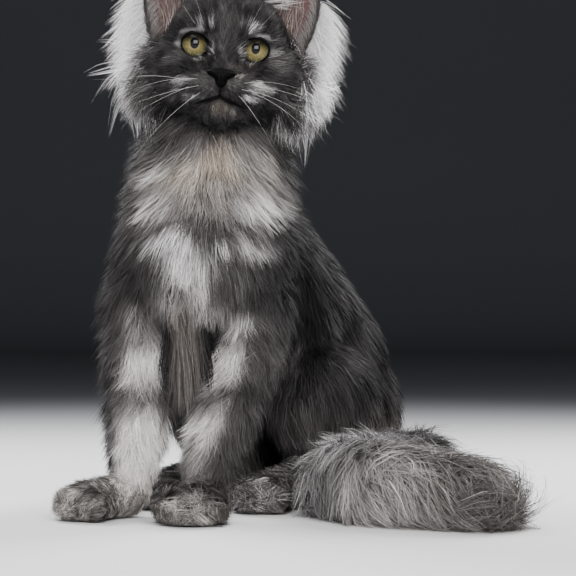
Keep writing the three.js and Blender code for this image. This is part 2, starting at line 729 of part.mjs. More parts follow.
function toeTufts(field, { heel, toes }, spread) {
  const ahead = vec(toes).sub(vec(heel)).setZ(0).normalize();
  const across = V(-ahead.y, ahead.x, 0);
  const locks = [];
  for (let i = -1; i <= 1; i++) {
    const from = vec(toes).addScaledVector(across, i * spread).setZ(9);
    const root = leave(field, from, ahead, 0);
    const line = lockLine({ ...TOE_TUFT, root, lie: ahead.clone().add(V(0, 0, -0.3)) });
    locks.push({ line, width: TOE_TUFT.width, thick: TOE_TUFT.thick });
  }
  return locks;
}
const pawBone = ({ heel, toes }) => [heel, toes];

// Tail: three lengths, each with tiers of long locks that spread sideways and flatten on the floor.
const TAIL_COAT = { length: 62, width: 16, thick: 3, lift: 24, sag: 0.1, lie: lying(1, 0, 0.5) };
const TAIL_CUTS = [null, 0.34, 0.66, null];
function tailBetween(from, to) {
  return (margin) => {
    let body = wrap(fields.tail, TAIL, UPWARDS, { ...FACETS.tail, margin });
    const keep = (s, sign) => {
      const f = boneFrame(TAIL, s, UPWARDS);
      const n = f.along.clone().multiplyScalar(sign);
      const side = body.trimByPlane(n.toArray(), n.dot(f.at) + GAP / 2 - margin).decompose();
      const middle = boneFrame(TAIL, sign > 0 ? s + 0.1 : s - 0.1, UPWARDS).at;
      body = side.reduce((a, b) => (nearness(b, middle) < nearness(a, middle) ? b : a));
    };
    if (from !== null) keep(from, 1);
    if (to !== null) keep(to, -1);
    return body;
  };
}
function nearness(body, p) {
  const box = body.boundingBox();
  const q = new THREE.Box3(vec(box.min), vec(box.max));
  return q.distanceToPoint(p);
}
const TAIL_ROUND = { field: fields.tail, bone: TAIL, front: UPWARDS, from: -115, to: 115, count: 5 };
const tailLocks = (stations) => stations.flatMap((at) => tier({ ...TAIL_ROUND, at, ...TAIL_COAT }));

// The parts in the order in which their coats lie on each other, the topmost first.
const parts = [
  { name: "eye_left", colour: "#b9a35a", rough: 0.1, core: (m) => eyeball(1, m) },
  { name: "eye_right", colour: "#b9a35a", rough: 0.1, core: (m) => eyeball(-1, m) },
  { name: "nose", colour: "#1c1c20", rough: 0.5, core: noseLeather, cuts: () => [nostril(1), nostril(-1)] },
  {
    name: "head",
    colour: "#5d5c60",
    core: (m) => {
      const openings = Manifold.union([eyeOpening(1), eyeOpening(-1)]);
      const flesh = m > 0 ? headCore(m) : headCore(m).subtract(openings);
      return Manifold.union([flesh, lidRim(1), lidRim(-1)]);
    },
    cuts: mouthCuts,
    locks: [...cheekRuff(1), ...cheekRuff(-1), ...jawFringe()],
  },
  { name: "ear_left", colour: "#6a5457", core: earCore(1), locks: earLocks(1) },
  { name: "ear_right", colour: "#6a5457", core: earCore(-1), locks: earLocks(-1) },
  {
    name: "neck",
    colour: "#8c8884",
    core: trunkBetween(null, NECK_END),
    locks: [
      trunkTier(0.11, 4, NAPE, 110, 250),
      trunkTier(0.23, 11, RUFF),
      trunkTier(0.34, 12, RUFF),
    ].flat(),
  },
  {
    name: "forepaw_left",
    colour: "#8b8784",
    core: legCore(fields.forepawLeft, pawBone(FOREPAW_LEFT), FACETS.paw),
    locks: toeTufts(fields.forepawLeft, FOREPAW_LEFT, FORE_SPREAD),
  },
  {
    name: "forepaw_right",
    colour: "#8b8784",
    core: legCore(fields.forepawRight, pawBone(FOREPAW_RIGHT), FACETS.paw),
    locks: toeTufts(fields.forepawRight, FOREPAW_RIGHT, FORE_SPREAD),
  },
  {
    name: "chest",
    colour: "#9b9793",
    core: trunkBetween(NECK_END, CHEST_END),
    locks: [
      trunkTier(0.43, 6, BIB, -80, 80),
      trunkTier(0.5, 6, BIB, -80, 80),
      trunkTier(0.45, 5, BACK_COAT, 95, 265),
      trunkTier(0.55, 5, BACK_COAT, 95, 265),
    ].flat(),
  },
  {
    name: "foreleg_left",
    colour: "#a29e9a",
    core: legCore(fields.forelegLeft, FORELEG_LEFT, FACETS.foreleg),
    locks: forelegLocks(fields.forelegLeft, FORELEG_LEFT),
  },
  {
    name: "foreleg_right",
    colour: "#a29e9a",
    core: legCore(fields.forelegRight, FORELEG_RIGHT, FACETS.foreleg),
    locks: forelegLocks(fields.forelegRight, FORELEG_RIGHT),
  },
  {
    name: "waist",
    colour: "#3a383a",
    core: trunkBetween(CHEST_END, WAIST_END),
    locks: [trunkTier(0.65, 8, FLANK_COAT, 40, 320), trunkTier(0.75, 8, FLANK_COAT, 40, 320)].flat(),
  },
  {
    name: "thigh_left",
    colour: "#3a383a",
    core: legCore(fields.thighLeft, THIGH_LEFT.slice(0, 2), FACETS.thigh),
    locks: thighLocks(fields.thighLeft, THIGH_LEFT),
  },
  {
    name: "thigh_right",
    colour: "#3a383a",
    core: legCore(fields.thighRight, THIGH_RIGHT.slice(0, 2), FACETS.thigh),
    locks: thighLocks(fields.thighRight, THIGH_RIGHT),
  },
  {
    name: "rump",
    colour: "#3a383a",
    core: trunkBetween(WAIST_END, null),
    locks: [trunkTier(0.85, 6, BACK_COAT, 80, 280), trunkTier(0.95, 5, BACK_COAT, 90, 270)].flat(),
  },
  {
    name: "hindfoot_left",
    colour: "#77757a",
    core: legCore(fields.hindfootLeft, pawBone(HINDFOOT_LEFT), FACETS.paw),
    locks: toeTufts(fields.hindfootLeft, HINDFOOT_LEFT, HIND_SPREAD),
  },
  {
    name: "hindfoot_right",
    colour: "#77757a",
    core: legCore(fields.hindfootRight, pawBone(HINDFOOT_RIGHT), FACETS.paw),
    locks: toeTufts(fields.hindfootRight, HINDFOOT_RIGHT, HIND_SPREAD),
  },
  {
    name: "tail_end",
    colour: "#8e8b88",
    core: tailBetween(TAIL_CUTS[2], null),
    locks: tailLocks([0.7, 0.82, 0.94]),
  },
  {
    name: "tail_middle",
    colour: "#8e8b88",
    core: tailBetween(TAIL_CUTS[1], TAIL_CUTS[2]),
    locks: tailLocks([0.37, 0.47, 0.57]),
  },
  {
    name: "tail_root",
    colour: "#8e8b88",
    core: tailBetween(null, TAIL_CUTS[1]),
    locks: tailLocks([0.1, 0.23]),
  },
];

// Each part is cleared of the parts before it, with the gap.
const bodies = [];
const boxOf = (body) => new THREE.Box3(vec(body.boundingBox().min), vec(body.boundingBox().max));
for (const part of parts) {
  let body = grownPart(part, 0);
  const box = boxOf(body);
  const near = bodies.filter((q) => q.box.intersectsBox(box)).map((q) => q.grown);
  const cuts = [...near, ...(part.cuts?.() ?? [])];
  if (cuts.length) body = body.subtract(Manifold.union(cuts));
  body = largest(body);
  bodies.push({ part, body, box: boxOf(body), grown: grownPart(part, GAP).add(body) });
}

// The origin is the middle of the base of the whole cat.
const bounds = bodies.reduce((all, { box }) => all.union(box), new THREE.Box3());
const middle = bounds.getCenter(V(0, 0, 0));

const museumCat = new THREE.Group();
for (const { part, body } of bodies) {
  const moved = geometryOf(body).translate(-middle.x, -middle.y, -bounds.min.z);
  const geometry = geometryOf(settled(solidOf(moved)));
  geometry.computeVertexNormals();
  const finish = { color: part.colour, roughness: part.rough ?? 0.9, metalness: 0 };
  const mesh = new THREE.Mesh(geometry, new THREE.MeshStandardMaterial(finish));
  mesh.name = part.name;
  museumCat.add(mesh);
}
export default museumCat;
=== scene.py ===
"""A life-size Maine Coon cat, sitting, as a museum model: its skin, coat, face and studio.

Sizes are in millimetres in the cat's own frame: +Z is up, the viewer stands at -Y, and +X is the viewer's
right, which is the cat's left. Left and right in names are the cat's own. A piece is worked out there and
then moved to the frame of the solids, in metres.
"""

import functools
import math

import bpy
import numpy as np
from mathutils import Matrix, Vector


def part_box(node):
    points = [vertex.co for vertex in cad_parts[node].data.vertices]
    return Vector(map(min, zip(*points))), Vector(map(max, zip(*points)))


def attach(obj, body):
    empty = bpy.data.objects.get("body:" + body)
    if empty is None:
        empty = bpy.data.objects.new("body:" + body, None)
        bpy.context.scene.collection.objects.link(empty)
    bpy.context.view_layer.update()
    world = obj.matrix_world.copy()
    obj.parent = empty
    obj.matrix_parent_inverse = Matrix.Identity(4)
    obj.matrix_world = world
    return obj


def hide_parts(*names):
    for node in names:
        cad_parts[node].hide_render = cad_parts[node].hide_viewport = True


bl_info = {
    "name": "Maine Coon museum model",
    "version": (1, 0, 0),
    "blender": (4, 5, 0),
    "location": "3D View > Sidebar > Cat",
    "description": "Dresses the solids of a sitting cat with skin, coat, eyes, ears and whiskers",
    "category": "Add Mesh",
}

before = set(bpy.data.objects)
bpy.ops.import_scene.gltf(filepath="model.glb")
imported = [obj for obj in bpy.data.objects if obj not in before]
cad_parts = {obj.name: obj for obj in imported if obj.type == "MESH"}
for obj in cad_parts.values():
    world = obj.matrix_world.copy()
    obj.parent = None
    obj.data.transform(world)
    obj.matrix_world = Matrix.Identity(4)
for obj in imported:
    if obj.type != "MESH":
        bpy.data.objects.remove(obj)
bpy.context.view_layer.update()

# The head's own frame: the point between the eyes, and how far the head leans to the cat's left.
BETWEEN_EYES = np.array([19.5, -32.0, 344.6])
HEAD_LEAN = math.radians(5.3)

# The eyes: how far each lies from the middle, the ball's radius and how far back its middle lies.
EYE_APART = 22.2
EYE_RADIUS = 10.6
EYE_SET_BACK = 4.2

# The skin: how far it lies inside the solids' flesh, which their locks cover, its grid's step and reach.
SKIN_INSET = 2.0
SKIN_STEP = 2.3
SKIN_REACH = 10.0

# The relief that the hair is combed on: its grid's step and reach past the flesh.
RELIEF_STEP = 3.0
RELIEF_REACH = 48.0

# A height that stands for anywhere far off, and the least heights of the hair and the skin over the floor.
FAR = 60.0
OVER_FLOOR = 0.8
SKIN_OVER_FLOOR = 0.3

TOWARDS_VIEWER = np.array([0.0, -1.0, 0.0])
UPWARDS = np.array([0.0, 0.0, 1.0])

# Balls of flesh: x, y, z of the centre and the radius.
TRUNK = [
    (17, 22, 335, 30),
    (14, 24, 300, 37),
    (10, 26, 262, 43),
    (6, 32, 222, 50),
    (26, 78, 184, 56),
    (50, 124, 146, 60),
    (74, 170, 108, 62),
    (90, 206, 60, 62),
]
BREAST = ((2, 2, 192), (42, 36, 58))
FORELEG_LEFT = [
    (36, 14, 206, 27),
    (37, 12, 152, 24),
    (33, 4, 116, 20.5),
    (19, -12, 76, 18),
    (5, -25, 38, 17),
]
FORELEG_RIGHT = [
    (-32, 32, 206, 27),
    (-44, 30, 152, 24),
    (-45, 23, 116, 20.5),
    (-47, 13, 76, 18),
    (-50, 7, 38, 17),
]
THIGH_LEFT = [(106, 190, 74, 48), (84, 96, 88, 35), (99, 124, 34, 24)]
THIGH_RIGHT = [(63, 210, 74, 48), (4, 130, 88, 35), (17, 160, 34, 24)]
TAIL = [
    (124, 262, 22, 22),
    (158, 234, 20, 21),
    (174, 184, 20, 21),
    (160, 124, 21, 22),
    (126, 66, 22, 23),
    (112, 10, 23, 24),
    (142, -42, 23, 24),
    (196, -76, 20, 21),
]

# Feet: the heel, the toes, the heel's radius and the spread of the toes.
FEET = {
    "forepaw_left": ((3, -24, 17), (-3, -54, 13), 16, 13.5),
    "forepaw_right": ((-54, 3, 17), (-82, -18, 13), 16, 13.5),
    "hindfoot_left": ((92, 118, 20), (45, 36, 15), 18, 12),
    "hindfoot_right": ((14, 158, 20), (-30, 70, 15), 18, 12),
}

# A toe's radii, the foot's radius where toes begin, how far the middle ones lead and the outer ones lag.
TOE_RADII = (9, 9, 10.5)
TOE_END = 15
TOE_LEAD = 10
TOE_SET_BACK = 4
PAD_RADII = (23, 22, 14)
PAD_HEIGHT = 13

# Flesh of the head in its own frame: skull, brow, cheeks, jaw, whisker pads and chin, and the nose's bridge.
HEAD_BALLS = [
    ((0, 36, 8), (45, 42, 40)),
    ((0, 12, 16), (36, 26, 25)),
    ((30, 24, -18), (29, 32, 28)),
    ((-30, 24, -18), (29, 32, 28)),
    ((0, 18, -32), (34, 34, 22)),
    ((13.5, -11, -29.5), (17.5, 18, 12)),
    ((-13.5, -11, -29.5), (17.5, 18, 12)),
    ((0, -7, -46), (16, 16, 12)),
]
NOSE_BRIDGE = ((0, 6, 4, 13), (0, -19, -19, 9.5))
HEAD_BONE = ((0, 42, 4), (0, 2, -12))


def length(v):
    """Length of each vector along the last axis."""
    return np.sqrt((v * v).sum(-1))


def unit(v):
    """Each vector divided by its length."""
    return v / np.maximum(length(v), 1e-9)[..., None]


def dot(a, b):
    """Sum of the products of the coordinates, kept as a last axis of one."""
    return (a * b).sum(-1, keepdims=True)


def ease(x, low, high):
    """0 below low, 1 above high, and 3t^2 - 2t^3 between them."""
    t = np.clip((x - low) / (high - low), 0, 1)
    return t * t * (3 - 2 * t)


def from_head(p):
    """Turns points of the head's frame by its lean about Y and moves them to the cat's frame."""
    p = np.asarray(p, float)
    c, s = math.cos(HEAD_LEAN), math.sin(HEAD_LEAN)
    turned = np.stack([p[..., 0] * c + p[..., 2] * s, p[..., 1], p[..., 2] * c - p[..., 0] * s], -1)
    return turned + BETWEEN_EYES


def to_head(p):
    """The reverse of from_head."""
    q = np.asarray(p, float) - BETWEEN_EYES
    c, s = math.cos(HEAD_LEAN), math.sin(HEAD_LEAN)
    return np.stack([q[..., 0] * c - q[..., 2] * s, q[..., 1], q[..., 2] * c + q[..., 0] * s], -1)


def head_way(v):
    """A direction of the head's frame in the cat's frame."""
    return from_head(v) - BETWEEN_EYES


def eye_centre(side):
    """The middle of an eye, side 1 for the cat's left and -1 for its right."""
    return from_head((side * EYE_APART, EYE_SET_BACK, 0))


def cad_shift():
    """From the cat's frame to the frame of the solids, in millimetres, measured on the left eye."""
    low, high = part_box("eye_left")
    return (np.array(low) + np.array(high)) * 500 - eye_centre(1)


SHIFT = cad_shift()


def metres(p):
    """Points of the cat's frame as metres in the frame of the solids."""
    return (np.asarray(p, float) + SHIFT) / 1000


def ball_height(p, centre, radii):
    """Height over an ellipsoid: k0 (k0 - 1) / k1, where k0 and k1 are the lengths of q/r and q/r^2."""
    q = p - np.array(centre, float)
    r = np.array(radii, float)
    k0 = length(q / r)
    return k0 * (k0 - 1) / np.maximum(length(q / (r * r)), 1e-9)


def cone_height(p, start, end):
    """Height over two balls and the cone that touches both, from the place along and away from the axis."""
    a = np.array(start[:3], float)
    axis = np.array(end[:3], float) - a
    span = math.sqrt(axis @ axis)
    axis /= span
    b = (start[3] - end[3]) / span
    c = math.sqrt(1 - b * b)
    q = p - a
    y = q @ axis
    x = np.sqrt(np.maximum((q * q).sum(-1) - y * y, 0))
    k = c * y - b * x
    near = np.hypot(x, y) - start[3]
    far = np.hypot(x, y - span) - end[3]
    return np.where(k < 0, near, np.where(k > c * span, far, x * c + y * b - start[3]))


def melt(a, b, softness):
    """The smaller of two heights, less h^2 softness / 4 where they are closer than the softness."""
    h = np.maximum(softness - np.abs(a - b), 0) / softness
    return np.minimum(a, b) - h * h * softness / 4


class Flesh:
    """A part of the flesh: balls and cones melted together, and the bone that its coat follows."""

    def __init__(self, balls=(), cones=(), softness=10.0, bone=None, front=TOWARDS_VIEWER, in_head=False):
        self.balls = balls
        self.cones = cones
        self.softness = softness
        self.bone = np.array([b[:3] for b in bone], float)
        self.front = front
        self.in_head = in_head

    def height(self, p):
        """Height over this part at each point."""
        q = to_head(p) if self.in_head else p
        best = None
        for shape, pieces in ((cone_height, self.cones), (ball_height, self.balls)):
            for piece in pieces:
                found = shape(q, *piece)
                best = found if best is None else melt(best, found, self.softness)
        return best

    def box(self):
        """Lowest and highest corner of the part."""
        ends = [end for pair in self.cones for end in pair]
        low = [np.array(e[:3]) - e[3] for e in ends] + [np.array(c) - np.array(r) for c, r in self.balls]
        high = [np.array(e[:3]) + e[3] for e in ends] + [np.array(c) + np.array(r) for c, r in self.balls]
        low, high = np.min(low, 0), np.max(high, 0)
        if self.in_head:
            corners = from_head(np.array(np.meshgrid(*zip(low, high))).reshape(3, -1).T)
            low, high = corners.min(0), corners.max(0)
        return low, high

    def locate(self, p):
        """Place along the bone from 0 to 1, the bone's way there and the angle round it from its front."""
        bone = self.bone
        ways = np.diff(bone, axis=0)
        tangents = unit(np.vstack([ways[:1], ways[:-1] + ways[1:], ways[-1:]]))
        t = np.clip(((p[:, None] - bone[:-1]) * ways).sum(-1) / (ways * ways).sum(-1), 0, 1)
        feet = bone[:-1] + t[..., None] * ways
        nearest = length(p[:, None] - feet).argmin(1)
        row = np.arange(len(p))
        share = t[row, nearest]
        along = unit(tangents[nearest] * (1 - share[:, None]) + tangents[nearest + 1] * share[:, None])
        ahead = unit(self.front - along * dot(along, self.front))
        aside = np.cross(along, ahead)
        offset = p - feet[row, nearest]
        angle = np.arctan2((offset * aside).sum(-1), (offset * ahead).sum(-1))
        return (nearest + share) / len(ways), along, angle


def chain(balls):
    """Pairs of neighbours of a list of balls, one cone each."""
    return list(zip(balls[:-1], balls[1:]))


def foot_ways(heel, toes):
    """Unit ways ahead and across of a foot, level with the floor."""
    ahead = np.array(toes, float) - np.array(heel, float)
    ahead[2] = 0
    ahead = unit(ahead)
    return ahead, np.array([-ahead[1], ahead[0], 0])


def foot(name):
    """A foot: a cone from heel to toes, four toe balls in a row, the middle two ahead, and a broad pad."""
    heel, toes, heel_radius, spread = FEET[name]
    ahead, across = foot_ways(heel, toes)
    balls = []
    for i in (-1.5, -0.5, 0.5, 1.5):
        tip = np.array(toes) + across * i * spread + ahead * (TOE_LEAD - abs(i) * TOE_SET_BACK)
        balls.append(((tip[0], tip[1], TOE_RADII[2]), TOE_RADII))
    balls.append(((toes[0], toes[1], PAD_HEIGHT), PAD_RADII))
    return Flesh(balls, [((*heel, heel_radius), (*toes, TOE_END))], 4, [heel, toes], UPWARDS)


def limb(balls, softness, front=UPWARDS):
    """A limb: a chain of cones, with its own middle line as its bone."""
    return Flesh([], chain(balls), softness, balls, front)


FLESH = {
    "trunk": Flesh([BREAST], chain(TRUNK), 22, TRUNK),
    "head": Flesh(HEAD_BALLS, [NOSE_BRIDGE], 9, from_head(HEAD_BONE), UPWARDS, True),
    "foreleg_left": limb(FORELEG_LEFT, 10, TOWARDS_VIEWER),
    "foreleg_right": limb(FORELEG_RIGHT, 10, TOWARDS_VIEWER),
    "forepaw_left": foot("forepaw_left"),
    "forepaw_right": foot("forepaw_right"),
    "thigh_left": limb(THIGH_LEFT, 16),
    "thigh_right": limb(THIGH_RIGHT, 16),
    "hindfoot_left": foot("hindfoot_left"),
    "hindfoot_right": foot("hindfoot_right"),
    "tail": limb(TAIL, 10),
}
PART_NAMES = list(FLESH)
PART_SOFTNESS = 6


def flesh_grid(step, reach):
    """Heights over all the flesh on a cubic grid. Each part is worked out only within its reach."""
    boxes = [f.box() for f in FLESH.values()]
    low = np.min([b[0] for b in boxes], 0) - reach
    high = np.max([b[1] for b in boxes], 0) + reach
    counts = np.ceil((high - low) / step).astype(int) + 1
    axes = [low[k] + step * np.arange(counts[k]) for k in range(3)]
    values = np.full(counts, FAR)
    for part, (part_low, part_high) in zip(FLESH.values(), boxes):
        spans = []
        for k in range(3):
            first = max(int((part_low[k] - reach - low[k]) / step), 0)
            spans.append(slice(first, int((part_high[k] + reach - low[k]) / step) + 2))
        local = np.stack(np.meshgrid(*[axes[k][spans[k]] for k in range(3)], indexing="ij"), -1)
        values[tuple(spans)] = melt(values[tuple(spans)], part.height(local), PART_SOFTNESS)
    return low, values


class Relief:
    """The height over the flesh and its slope anywhere near it, read between the points of a grid."""

    def __init__(self, step, reach):
        self.step = step
        self.low, values = flesh_grid(step, reach)
        slopes = np.gradient(values, step)
        self.table = np.stack([values, *slopes], -1).astype(np.float32)

    def read(self, p):
        """Height and unit slope at each point, weighted from the eight grid points round it."""
        q = (p - self.low) / self.step
        q = np.clip(q, 0, np.array(self.table.shape[:3]) - 1.001)
        cell = q.astype(int)
        t = q - cell
        found = np.zeros((len(p), 4))
        for corner in np.ndindex(2, 2, 2):
            c = np.array(corner)
            weight = np.prod(np.where(c == 1, t, 1 - t), -1)
            at = cell + c
            found += self.table[at[:, 0], at[:, 1], at[:, 2]] * weight[:, None]
        return found[:, :1], unit(found[:, 1:])

    def settle(self, p, level):
        """Moves points along the slope until they lie at a level over the flesh."""
        for _ in range(3):
            height, slope = self.read(p)
            p = p + slope * (level - height)
        return p


def net_surface(values, low, step, level):
    """A closed surface at a level of a grid of heights, of four-sided faces.

    Each cell that the level crosses has one point, the mean of the places where it crosses the cell's edges.
    Each grid edge that it crosses has one face, between the four cells that share the edge.
    """
    inside = values < level
    filled = sum(
        inside[a : a + s[0], b : b + s[1], c : c + s[2]].astype(np.int8)
        for s in [np.array(values.shape) - 1]
        for a, b, c in np.ndindex(2, 2, 2)
    )
    cells = np.argwhere((filled > 0) & (filled < 8))
    number = np.full(filled.shape, -1)
    number[tuple(cells.T)] = np.arange(len(cells))
    total = np.zeros((len(cells), 3))
    count = np.zeros(len(cells))
    faces = []
    for axis in range(3):
        others = [(axis + 1) % 3, (axis + 2) % 3]
        step_on = np.eye(3, dtype=int)[axis]
        for pair in np.ndindex(2, 2):
            start = np.zeros(3, int)
            start[others] = pair
            v0 = values[tuple((cells + start).T)]
            v1 = values[tuple((cells + start + step_on).T)]
            crosses = (v0 < level) != (v1 < level)
            t = (level - v0) / np.where(crosses, v1 - v0, 1)
            total += np.where(crosses[:, None], start + step_on * t[:, None], 0)
            count += crosses
        ends = [slice(None)] * 3
        ends[axis] = slice(1, None)
        first = [slice(None)] * 3
        first[axis] = slice(None, -1)
        edges = np.argwhere(inside[tuple(first)] != inside[tuple(ends)])
        ring = []
        for pair in ((1, 1), (0, 1), (0, 0), (1, 0)):
            back = np.zeros(3, int)
            back[others] = pair
            ring.append(number[tuple((edges - back).T)])
        ring = np.stack(ring, 1)
        outward = inside[tuple(edges.T)]
        faces.append(np.where(outward[:, None], ring, ring[:, ::-1]))
    return low + step * (cells + total / count[:, None]), np.concatenate(faces)


# Eyelids: an oval opening that rises to its outer corner and comes to a point at its inner one.
LID_WIDTH = 9.8
LID_HEIGHT = 8.8
LID_SLANT = math.radians(14)
LID_THICK = 1.5
LID_OVER_EYE = 0.7
LID_WIDENING = 0.8
TEAR_CORNER = (2.6, 1.4)
TEAR_CORNER_SPAN = 0.32
LID_SQUARENESS = 0.12


def lid_oval(side, a, grow=0.0):
    """The lid's edge about the eye's middle: an ellipse, drawn out at the inner corner and turned."""
    corner = np.exp(-(((a - math.pi) / TEAR_CORNER_SPAN) ** 2))
    x = np.cos(a) * (LID_WIDTH + grow) - TEAR_CORNER[0] * corner
    z = np.sin(a) * (LID_HEIGHT + grow) * (1 - LID_SQUARENESS * np.abs(np.cos(a))) - TEAR_CORNER[1] * corner
    c, s = math.cos(LID_SLANT), math.sin(LID_SLANT)
    return side * (x * c - z * s), x * s + z * c


def eye_gap(head_points):
    """Height over the eyes' openings: negative where a point lies before an eye and within its lids."""
    gap = np.full(head_points.shape[:-1], FAR)
    c, s = math.cos(LID_SLANT), math.sin(LID_SLANT)
    for side in (-1, 1):
        x = (head_points[..., 0] - side * EYE_APART) * side
        z = head_points[..., 2]
        u = (x * c + z * s + LID_WIDENING) / (LID_WIDTH + LID_WIDENING)
        v = (z * c - x * s) / LID_HEIGHT
        oval = (np.hypot(u, v) - 1) * LID_HEIGHT
        gap = np.minimum(gap, np.maximum(oval, head_points[..., 1] - EYE_SET_BACK))
    return gap


# The mouth in the head's frame: it falls from the nose, then parts to both sides.
MOUTH_TOP = -31.0
MOUTH_MIDDLE = -37.0
MOUTH_CORNER = (17.0, -43.5)

# Where along Y the face's surface is looked for, and how often the stretch is halved.
FACE_SEARCH = (-60.0, 10.0)
FACE_HALVINGS = 24


def mouth_line(x):
    """Height of the line of the mouth at a distance from the middle, falling by the power 0.8."""
    t = np.clip(np.abs(x) / MOUTH_CORNER[0], 0, 1)
    return MOUTH_MIDDLE + (MOUTH_CORNER[1] - MOUTH_MIDDLE) * t**0.8


def on_face(x, z, sink):
    """Points of the face in the head's frame, found along Y by halving, with a sink below the skin."""
    x, z = np.broadcast_arrays(np.asarray(x, float), np.asarray(z, float))
    near, far = (np.full(x.shape, y) for y in FACE_SEARCH)
    for _ in range(FACE_HALVINGS):
        middle = (near + far) / 2
        height = FLESH["head"].height(from_head(np.stack([x, middle, z], -1)))
        outside = height > -sink
        near, far = np.where(outside, middle, near), np.where(outside, far, middle)
    return np.stack([x, far, z], -1)


# Markings, and a few marks of painted shade. A tone runs from 0, black smoke, to 1, white. A warmth runs from
# 0, cool grey, to 1, cream. Each mark is a soft ball: X, Z, half its width and height, its tone, its warmth
# and its strength, and then Y and half its depth where these aren't the usual ones.
BODY_MARK_DEPTH = (-20, 45)
BODY_MARKS = (
    (9, 247, 55, 27, 0.59, 0.45, 0.85),
    (13, 261, 21, 11, 0.72, 1, 0.9),
    (-10, 248, 19, 8, 0.7, 0.7, 0.8),
    (-36, 255, 13, 7, 0.75, 0.1, 0.85),
    (-32, 228, 19, 8, 0.7, 0.15, 0.9),
    (38, 261, 9, 9, 0.5, 0.3, 0.8),
    (74, 256, 19, 50, 0.04, 0.2, 0.92, 0, 70),
    (57, 246, 9, 11, 0.42, 0.1, 0.6),
    (7, 232, 23, 6, 0.47, 0.35, 0.8),
    (45, 229, 18, 13, 0.86, 0.05, 0.95),
    (24, 240, 8, 6, 0.45, 0.2, 0.7),
    (-25, 239, 17, 3.5, 0.42, 0.2, 0.6),
    (3.5, 218, 25, 3.2, 0.34, 0.2, 0.85),
    (25, 212, 8, 4.5, 0.16, 0.1, 0.9),
    (-35, 215, 21, 3, 0.21, 0.1, 0.9),
    (70, 222, 10, 17, 0.1, 0.1, 0.9),
    (-17, 203, 19, 8, 1, 0, 1),
    (16, 202, 8, 5, 0.93, 0, 0.9),
    (5, 197, 4, 13, 0.54, 0, 0.8),
    (40, 201, 19, 7, 0.72, 0.1, 0.9),
    (20, 190, 7, 6, 0.19, 0, 0.9),
    (-11, 186, 18, 13, 0.89, 0.05, 0.95),
    (-1.5, 169, 9, 11, 0.86, 0.1, 0.95),
    (13, 180, 6, 11, 0.45, 0, 0.8),
    (55, 184, 19, 13, 0.11, 0.1, 0.9),
    (32, 176, 15, 8, 0.27, 0.1, 0.8),
    (-27, 165, 13, 8, 0.54, 0.2, 0.8),
    (-48, 165, 13, 13, 0.15, 0.2, 0.8),
    (-10, 144, 13, 23, 0.46, 0.5, 0.9),
    (-10, 112, 15, 28, 0.32, 0.5, 0.9, -14, 45),
    (-45, 146, 17, 13, 0.38, 0.2, 0.8),
    (13, 151, 13, 8, 0.51, 0.2, 0.8),
    (36, 142, 13, 13, 0.84, 0.05, 0.95),
    (49, 161, 11, 13, 0.09, 0.1, 0.9),
    (-60, 240, 17, 52, 0.05, 0.4, 0.9, -10, 60),
    (-64, 185, 13, 36, 0.06, 0.2, 0.9, -10, 60),
    (82, 165, 30, 70, 0, 0, 0.95, 10, 75),
    (72, 118, 4, 14, 0.35, 0, 0.7, 60, 40),
    (98, 140, 3, 14, 0.25, 0, 0.7, 90, 40),
    (136, 60, 30, 14, 0.12, 0.6, 0.6, 150, 60),
)
# The head's marks: most are the coat's own, a few are painted shade.
HEAD_MARK_DEPTH = (0, 30)
HEAD_MARKS_AND_PAINTED_SHADE = (
    (0.5, 10, 9, 15, 0.15, 0.1, 0.8),
    (-9, 9, 2.5, 5, 0.02, 0, 0.9),
    (11, 9, 2.5, 5.5, 0.02, 0, 0.9),
    (-5, -13, 7, 7, 0.03, 0, 0.9),
    (6, -15, 5.5, 3.5, 0.24, 0.6, 0.7),
    (-29, -20, 13, 3.5, 0.03, 0, 0.8),
    (31, -14, 9, 5.5, 0.04, 0, 0.8),
    (-9, -2, 2, 5.5, 0.46, 0, 0.9),
    (11, -2.5, 2, 5, 0.46, 0, 0.9),
    (-19, 13, 3, 5, 0.56, 0, 0.8),
    (-11, 15, 2, 4, 0.5, 0, 0.8),
    (19, 15, 4, 3.5, 0.56, 0, 0.8),
    (10, 17, 2, 3.5, 0.5, 0, 0.8),
    (-28, 10, 7, 2, 0.55, 0, 0.8),
    (28, 10, 7, 2, 0.66, 0, 0.8),
    (-34, 0, 3.5, 3, 0.5, 0, 0.8),
    (36, -1, 3.5, 3, 0.5, 0, 0.8),
    (-17, -10, 5, 1.6, 0.42, 0.3, 0.8),
    (19, -10, 4, 1.6, 0.5, 0.5, 0.8),
    (-12, -29, 11, 8, 0.27, 0.15, 0.9),
    (12, -28, 8, 6, 0.27, 0.15, 0.9),
    (-26, -27, 8, 3.4, 0.62, 0, 0.9),
    (-30, -32, 5, 2, 0.42, 0, 0.7),
    (27, -26.5, 8, 3.2, 0.8, 0, 0.9),
    (24, -31, 7, 2.6, 0.64, 0, 0.9),
    (-19, -38, 8, 2.5, 0.46, 0, 0.9),
    (21, -36, 7, 2.5, 0.7, 0, 0.9),
    (-3, -25, 2, 4, 0.6, 0, 0.9),
    (5.5, -26, 2, 3.5, 0.55, 0, 0.9),
    (12, -22, 4.5, 2, 0.5, 0.4, 0.9),
    # Painted shadow along the line of the mouth.
    (-8, -42, 8, 2, 0.01, 0, 0.95),
    (9, -41, 7, 2.5, 0.01, 0, 0.95),
    (0.5, -45, 8, 5.5, 0.24, 1, 0.9),
    (-32, -45, 9, 4, 0.02, 0, 0.9),
    (31, -44, 8, 3.5, 0.02, 0, 0.9),
    (40, -9, 7, 10, 0.3, 0.1, 0.6),
    (-36, -13, 7, 3, 0.26, 0.1, 0.6),
    (-29, -61, 6, 4.5, 0.6, 0.1, 0.9, 0, 45),
    (45, -58, 10, 6, 0.68, 0.1, 0.9, 0, 45),
    # Painted shade under the chin and the jowls.
    (1.5, -66, 31, 8, 0.05, 0.2, 0.85, 0, 45),
    (-42, -49, 10, 6, 0.05, 0.1, 0.7, 0, 45),
    (53, -43, 9, 6, 0.06, 0.1, 0.7, 0, 45),
)

